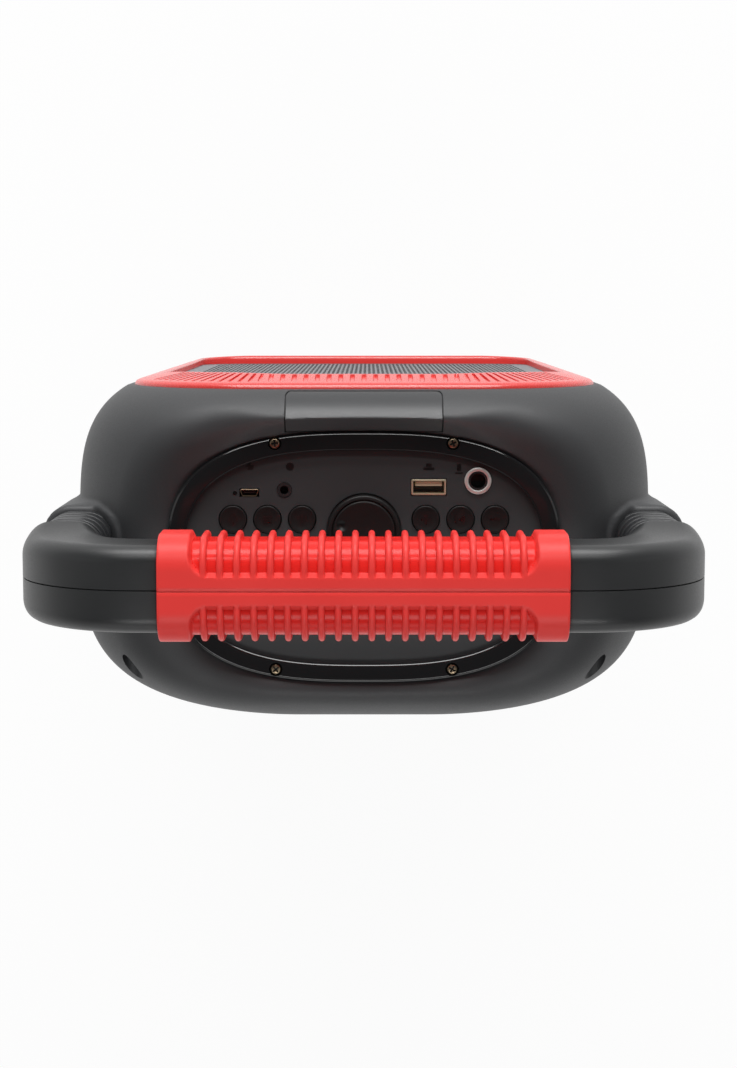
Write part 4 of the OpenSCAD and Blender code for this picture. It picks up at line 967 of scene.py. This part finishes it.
def socket_shell(w, h, r, skin, low, high, narrow=0.0):
    """Open rectangular tube with a rolled mouth and a floor, narrower at the back by a share of its width."""
    levels = [(0, low), (0, high - 0.25), (0.08, high - 0.06), (0.22, high), (skin - 0.1, high - 0.02),
              (skin, high - 0.2), (skin, low + SOCKET_FLOOR)]
    rows = []
    for inset, z in levels:
        loop = rounded_loop(w - 2 * inset, h - 2 * inset, max(r - inset, 0.15), 6)
        loop[:, 0] *= 1 - narrow * smooth(-0.1 * h, 0.4 * h, loop[:, 1])
        rows.append(at_level(loop, z))
    return tube(np.stack(rows))


def middle_of(lo, hi):
    """Middle of a node's box in plan."""
    return (lo[0] + hi[0]) / 2, (lo[1] + hi[1]) / 2


usb_lo, usb_hi = node_box("usb_shell")
usb = socket_shell(*DATA_SOCKET, usb_lo[2], usb_hi[2])
usb = build("data_socket", moved(usb, *middle_of(usb_lo, usb_hi)), brass, 30)
put(usb, "housing", "plated_brass", "usb_shell")
(x0, y0, z0), (x1, y1, z1) = node_box("usb_tongue")
tongue = build("data_tongue", prism([(x0, y0), (x1, y0), (x1, y1), (x0, y1)], z0, z1, 0.2), cream)
put(tongue, "housing", "white_plastic", "usb_tongue")
charge_lo, charge_hi = node_box("charge_shell")
charge = socket_shell(*CHARGE_SOCKET, charge_lo[2], charge_hi[2], CHARGE_NARROW)
charge = build("charge_socket", moved(charge, *middle_of(charge_lo, charge_hi)), bronze, 30)
put(charge, "housing", "plated_brass", "charge_shell")

mic_lo, mic_hi = node_box("mic_ferrule")
MIC_TOP = mic_hi[2]
ferrule = [(MIC_IN, mic_lo[2]), (MIC_OUT, mic_lo[2]), (MIC_OUT, MIC_TOP - 0.45)]
ferrule += fillet((MIC_OUT - MIC_EDGE, MIC_TOP - 0.4), 0, 70, MIC_EDGE, 4)
ferrule += [(MIC_IN + 0.45, MIC_TOP), (MIC_IN + 0.1, MIC_TOP - 0.15), (MIC_IN, MIC_TOP - 0.5)]
ferrule = lathe(ferrule, 72, closed=True)
ferrule = build("mic_ring", moved(ferrule, *middle_of(mic_lo, mic_hi)), nickel, 36)
put(ferrule, "housing", "nickel_trim", "mic_ferrule")


# Handle: two half shells swept along the bar and its bends
SEAM_GAP, SEAM_SOFT = 0.12, 0.25
CORE_SHARE, MOUTH_SOFT = 0.93, 0.5


def bar_path(steps=26):
    """Centres and outward directions along the bar, from the right arm to the left."""
    right = HANDLE_X - BAR_H / 2 - BEND_R
    path = []
    for a in np.radians(np.concatenate([[0, 0.3, 0.7, 1.4], np.linspace(3, 90, steps)])):
        path.append((right + BEND_R * math.cos(a), ARM_TOP + BEND_R * math.sin(a), math.cos(a), math.sin(a)))
    path += [(x, BAR_Z, 0.0, 1.0) for x in (GRIP_HALF - 0.5, GRIP_HALF - 3)]
    return path + [(-x, z, -nx, nz) for x, z, nx, nz in path[::-1]]


def half_section(w, h, r, side, steps=14):
    """Half of a rounded section from the seam on top round one side to the seam below: (y, height) pairs."""
    loop = [(side * SEAM_GAP, h / 2 - SEAM_SOFT), (side * (SEAM_GAP + SEAM_SOFT * 0.7), h / 2)]
    loop += [(side * (w / 2 - r + r * math.sin(a)), h / 2 - r + r * math.cos(a))
             for a in np.linspace(0, math.pi / 2, steps)]
    loop += [(y, -z) for y, z in loop[::-1]]
    return np.array(loop)


for side, name in ((-1, "front"), (1, "rear")):
    rows = []
    for x, z, nx, nz in bar_path():
        flare = max(0.0, 1 - (z - ARM_TOP) / FLARE_H) ** 2
        core = CORE_SHARE if abs(x) < GRIP_HALF - 2 else 1.0
        edge = MOUTH_SOFT * max(0.0, 1 - (z - ARM_TOP) / MOUTH_SOFT) ** 2
        r = BAR_R + (COLLAR_R - BAR_R) * flare
        loop = core * half_section(BAR_D - 2 * edge, BAR_H - 2 * edge, r, side)
        height = z + nz * loop[:, 1]
        deeper = (ARM_D - BAR_D) / BAR_D * np.clip(1 - (height - ARM_TOP) / FLARE_H, 0, 1) ** 2
        rows.append(np.column_stack([x + nx * loop[:, 1], HANDLE_Y + loop[:, 0] * (1 + deeper), height]))
    shell = build("handle_shell_" + name, tube(np.array(rows)), nylon, 36)
    put(shell, "housing", "black_plastic", "handle_" + name)


# Grip: red half sleeves with a ribbed window in each
RIBS, RIB_PITCH, RIB_HALF, RIB_SUNK = 20, 6.42, 1.3, 0.15
RECESS, RECESS_SOFT = 2.7, 0.9
WINDOW_X, WINDOW_BAND, WINDOW_R = 66.0, 6.0, 8.0
CUFF_LIP, SEAM_DROP = 0.6, 0.35
FLOOR_FROM, FLOOR_TO = 0.86 * RECESS, RECESS + 0.3


def sleeve_outline():
    """Half section of the sleeve from the seam on top: (y, height), outward direction and length along it."""
    r, flat, wall = GRIP_R, GRIP_D / 2 - GRIP_R, GRIP_H / 2 - GRIP_R
    spots, outs = [], []
    for y in np.linspace(SEAM_GAP, flat, 9, endpoint=False):
        spots.append((y, GRIP_H / 2))
        outs.append((0, 1))
    for a in np.linspace(0, math.pi / 2, 22):
        spots.append((flat + r * math.sin(a), wall + r * math.cos(a)))
        outs.append((math.sin(a), math.cos(a)))
    spots, outs = np.array(spots), np.array(outs)
    low = np.linspace(wall, -wall, 6)[1:-1]
    spots = np.concatenate([spots, np.column_stack([np.full(4, GRIP_D / 2), low]), spots[::-1] * [1, -1]])
    outs = np.concatenate([outs, np.tile([1.0, 0.0], (4, 1)), outs[::-1] * [1, -1]])
    length = np.concatenate([[0], np.cumsum(np.linalg.norm(np.diff(spots, axis=0), axis=1))])
    return spots, outs, length


# Stations along the sleeve: its lip, the cuff, the window's end and, as shares of the pitch, those of one rib
lip_marks = np.array([0, 0.15, 0.5, 1.0, 3.0])
flank = np.array([0.09, 0.15, 0.19, 0.215, 0.25, 0.36])
rib_marks = np.concatenate([[-0.5], -flank[::-1], [0.0], flank])
CUFF_START, CUFF_STOP = GRIP_HALF - 4.5, WINDOW_X + 2
grip_xs = np.concatenate([
    lip_marks - GRIP_HALF, np.linspace(-CUFF_START, -CUFF_STOP, 8),
    np.linspace(-WINDOW_X - 1, -WINDOW_X + 1.5, 8),
    *[(i - (RIBS - 1) / 2 + rib_marks) * RIB_PITCH for i in range(RIBS)],
    np.linspace(WINDOW_X - 2, WINDOW_X + 1, 9),
    np.linspace(CUFF_STOP, CUFF_START, 8), GRIP_HALF - lip_marks[::-1]])
spots, outs, length = sleeve_outline()
middle_l = length[-1] / 2
# Inside of a sleeve, clear of the bar: (y, height)
sleeve_inside = np.array([(SEAM_GAP, -BAR_H / 2 + 0.6), (BAR_D / 2 - 1.6, -BAR_H / 2 + 6),
                          (BAR_D / 2 - 1.6, BAR_H / 2 - 6), (SEAM_GAP, BAR_H / 2 - 0.6)])


def on_floor(centre, normal):
    """Picks the polished floor of a window by its depth under the sleeve's outline."""
    low, high = BAR_Z - GRIP_H / 2, BAR_Z + GRIP_H / 2
    sunk = -rounded(centre.y - HANDLE_Y, centre.z, GRIP_D / 2, low, high, GRIP_R, GRIP_R)
    return FLOOR_FROM < sunk < FLOOR_TO


def rib_height(x):
    """Height of the round rib nearest to x over the window's floor."""
    nearest = np.clip(round(x / RIB_PITCH + 0.5), 1 - RIBS // 2, RIBS // 2) - 0.5
    near = abs(x / RIB_PITCH - nearest) * RIB_PITCH
    return RECESS - RIB_SUNK - RIB_HALF + math.sqrt(RIB_HALF ** 2 - near ** 2) if near < RIB_HALF else 0.0


for side, name in ((-1, "front"), (1, "rear")):
    rows = []
    for x in grip_xs:
        qx = abs(x) - WINDOW_X + WINDOW_R
        ql = np.abs(length - middle_l) - (middle_l - WINDOW_BAND) + WINDOW_R
        away = np.hypot(np.maximum(qx, 0), np.maximum(ql, 0)) + np.minimum(np.maximum(qx, ql), 0) - WINDOW_R
        sunk = RECESS * smooth(RECESS_SOFT, -RECESS_SOFT, away)
        proud = np.maximum(RECESS - sunk, rib_height(x))
        end = GRIP_HALF - abs(x)
        lip = CUFF_LIP * (1 - math.sqrt(max(0.0, 1 - max(0.0, 1 - end / CUFF_LIP) ** 2)))
        depth = RECESS - proud + lip
        depth[0] = depth[-1] = depth[1] + SEAM_DROP
        loop = np.concatenate([spots - outs * depth[:, None], sleeve_inside])
        y, z = HANDLE_Y + side * loop[:, 0], BAR_Z + loop[:, 1]
        rows.append(np.column_stack([np.full(len(loop), x), y, z]))
    grip = build("grip_sleeve_" + name, tube(np.array(rows)), coral, 50)
    # The polished floor of each window takes the deeper red, painted shade in the recess
    second_material(grip, shaded_polished_red, on_floor)
    put(grip, "housing", "coral_plastic", "grip_" + name)


# Collars: sleeves with bellows grooves between the pillars and the arms
FIRST_GROOVE, GROOVE_PITCH, GROOVES = ARM_TOP - 7.2, 9.5, 4
GROOVE_DEEP, GROOVE_HALF, NECK_DEEP = 2.2, 1.1, 2.4
groove_zs = [FIRST_GROOVE - GROOVE_PITCH * i for i in range(GROOVES)]
COLLAR_LOW, COLLAR_HIGH = BOSS_TOP - 4, ARM_TOP - 0.05
for side, name in ((-1, "left"), (1, "right")):
    rows = []
    for z in np.linspace(COLLAR_LOW, COLLAR_HIGH, 200):
        grooves = sum(GROOVE_DEEP * math.exp(-((z - g) / GROOVE_HALF) ** 2) for g in groove_zs)
        depth = grooves + NECK_DEEP * smooth(ARM_TOP - 2.6, ARM_TOP - 0.6, z)
        loop = rounded_loop(COLLAR_W - 2 * depth, COLLAR_D - 2 * depth, COLLAR_R - depth, 12)
        rows.append(at_level(loop + [side * ARM_X, HANDLE_Y], z))
    collar = build("collar_bellows_" + name, tube(np.array(rows)), bellows, 50)
    put(collar, "housing", "black_plastic", "collar_" + name)


# Rubber feet with a sunk screw hole
HOLE_TOP, FOOT_HOLE_R, FOOT_EDGE = 3.9, 4.4, 1.5
foot = [(FOOT_HOLE_R, HOLE_TOP), (FOOT_HOLE_R, 0.3), (FOOT_HOLE_R + 0.3, 0.0), (FOOT_R - 2.2, 0)]
foot += fillet((FOOT_R - 2.2, FOOT_EDGE), -80, 0, FOOT_EDGE, 6)
foot += [(FOOT_R - 0.1, FOOT_H - 0.6), (FOOT_R - 0.5, FOOT_H), (0, FOOT_H), (0, HOLE_TOP)]
foot_places = [(x, y, 0) for x in (-FOOT_X, FOOT_X) for y in (-FOOT_Y, FOOT_Y)]
feet = repeated("foot_pads", foot_places, lathe(foot, 64), rubber)
soften(feet, 36)
put(feet, "housing", "soft_rubber", "rubber_feet")


# CAD nodes that stay in sight take the material of their slot
slot_material = {
    "panel_plastic": panel_black, "black_plastic": black_plastic_and_shade, "plated_brass": brass, "zinc_steel": zinc,
    "dark_steel": dark_steel, "soft_rubber": rubber, "cone_paper": cone_fibre, "spider_cloth": cloth,
    "board_green": board, "sink_aluminium": aluminium, "battery_wrap": film, "lamp_lens": lens,
    "white_plastic": cream, "bronze_screw": bronze, "nickel_trim": nickel, "control_plastic": key_black,
}
for entry in frame["record"]["subparts"]:
    obj = frame["nodes"][entry["node"]]
    if entry["material_slot"] in slot_material:
        obj.data.materials.clear()
        obj.data.materials.append(slot_material[entry["material_slot"]])


# Floor, light and camera

# Matt white floor: mostly plain white to the eye, with a share of real shading for the shadow
floor_white = surface("matt_white_floor", "#f4f4f3", "#f0f0ef", 0.85, 4.0, 0.02)
nodes = floor_white.node_tree.nodes
output = [n for n in nodes if n.type == "OUTPUT_MATERIAL"][0]
shaded = output.inputs["Surface"].links[0].from_socket


def seen_white(nodes, weight):
    """Share of plain white that camera, mirror and glass rays see."""
    path = add(nodes, "ShaderNodeLightPath").outputs
    looks = path["Is Camera Ray"]
    for name in ("Is Glossy Ray", "Is Transmission Ray"):
        looks = add(nodes, "ShaderNodeMath", {0: looks, 1: path[name]}, operation="MAXIMUM").outputs[0]
    return add(nodes, "ShaderNodeMath", {0: looks, 1: weight}, operation="MULTIPLY").outputs[0]


PLAIN_SHARE = 0.94
glow = add(nodes, "ShaderNodeEmission", {"Color": (1, 1, 1, 1), "Strength": 1.0}).outputs[0]
floor_mix = add(nodes, "ShaderNodeMixShader", {0: seen_white(nodes, PLAIN_SHARE), 1: shaded, 2: glow})
nodes.id_data.links.new(floor_mix.outputs[0], output.inputs["Surface"])
FLOOR_HALF, FLOOR_Z = 4000, -0.3
floor_corners = [(x * FLOOR_HALF, y * FLOOR_HALF, FLOOR_Z) for x, y in ((-1, -1), (1, -1), (1, 1), (-1, 1))]
floor = build("floor", (floor_corners, [[0, 1, 2, 3]]), floor_white)

# Studio: bright walls, dark ceiling, so that what faces up stays deep
world = bpy.data.worlds.new("studio")
scene.world = world
world.use_nodes = True
nodes = world.node_tree.nodes
nodes.clear()
ray = add(nodes, "ShaderNodeTexCoord").outputs["Generated"]
height = add(nodes, "ShaderNodeSeparateXYZ", {"Vector": ray}).outputs["Z"]
WALL_LIGHT, CEILING_LIGHT = 0.52, 0.07
walls = add(nodes, "ShaderNodeMapRange",
            {"Value": height, "From Min": 0.1, "From Max": 0.6,
             "To Min": WALL_LIGHT, "To Max": CEILING_LIGHT}, interpolation_type="SMOOTHSTEP").outputs[0]
soft_sky = add(nodes, "ShaderNodeBackground", {"Color": (1, 1, 1, 1), "Strength": walls})
plain = add(nodes, "ShaderNodeBackground", {"Color": (1, 1, 1, 1), "Strength": 1.0})
camera_sees = add(nodes, "ShaderNodeLightPath").outputs["Is Camera Ray"]
both = add(nodes, "ShaderNodeMixShader", {0: camera_sees, 1: soft_sky.outputs[0], 2: plain.outputs[0]})
add(nodes, "ShaderNodeOutputWorld", {"Surface": both.outputs[0]})

PANEL_POINT = Vector((0, 0, PANEL_Z * MM))


def lamp(name, place, size, power):
    """Softbox at a place in metres, turned towards the panel."""
    light = bpy.data.lights.new(name, "AREA")
    light.shape = "RECTANGLE"
    light.size, light.size_y = size
    light.energy = power
    obj = bpy.data.objects.new(name, light)
    obj.location = place
    obj.rotation_mode = "QUATERNION"
    obj.rotation_quaternion = (PANEL_POINT - Vector(place)).to_track_quat("-Z", "Y")
    scene.collection.objects.link(obj)


lamp("front_box", (0.0, -2.0, 1.0), (1.9, 0.9), 44)
lamp("high_front_strip", (0.0, -1.4, 1.9), (1.8, 0.25), 11)
lamp("left_box", (1.7, -0.2, 1.7), (0.9, 1.6), 2.0)
lamp("right_box", (-1.7, -0.2, 1.7), (0.9, 1.6), 2.0)
lamp("rear_box", (0.0, 2.2, 1.2), (3.2, 0.8), 8)
lamp("high_rear_box", (0.0, 1.1, 2.2), (1.6, 0.6), 13)

# Camera high over the panel, front of the speaker towards the top of the picture
# PLUMB_PX is how far the point straight below the camera lies from the middle of the picture
PHOTO_H, FOCAL_PX, PLUMB_PX = 1068, 2040.0, 231
CAMERA_PLACE = Vector((-1.9, -105.3, 1239))
camera = bpy.data.cameras.new("camera")
camera.sensor_width = 36
camera.lens = FOCAL_PX / PHOTO_H * camera.sensor_width
camera.clip_start, camera.clip_end = 0.05, 30
cam = bpy.data.objects.new("camera", camera)
tilt = math.atan(PLUMB_PX / FOCAL_PX)
right = Vector((-1, 0, 0))
up = Vector((0, -math.cos(tilt), -math.sin(tilt)))
back = Vector((0, -math.sin(tilt), math.cos(tilt)))
turned = Matrix((right, up, back)).transposed().to_4x4()
cam.matrix_world = Matrix.Translation(CAMERA_PLACE * MM) @ turned
scene.collection.objects.link(cam)
scene.camera = cam
scene.view_settings.view_transform = "Standard"
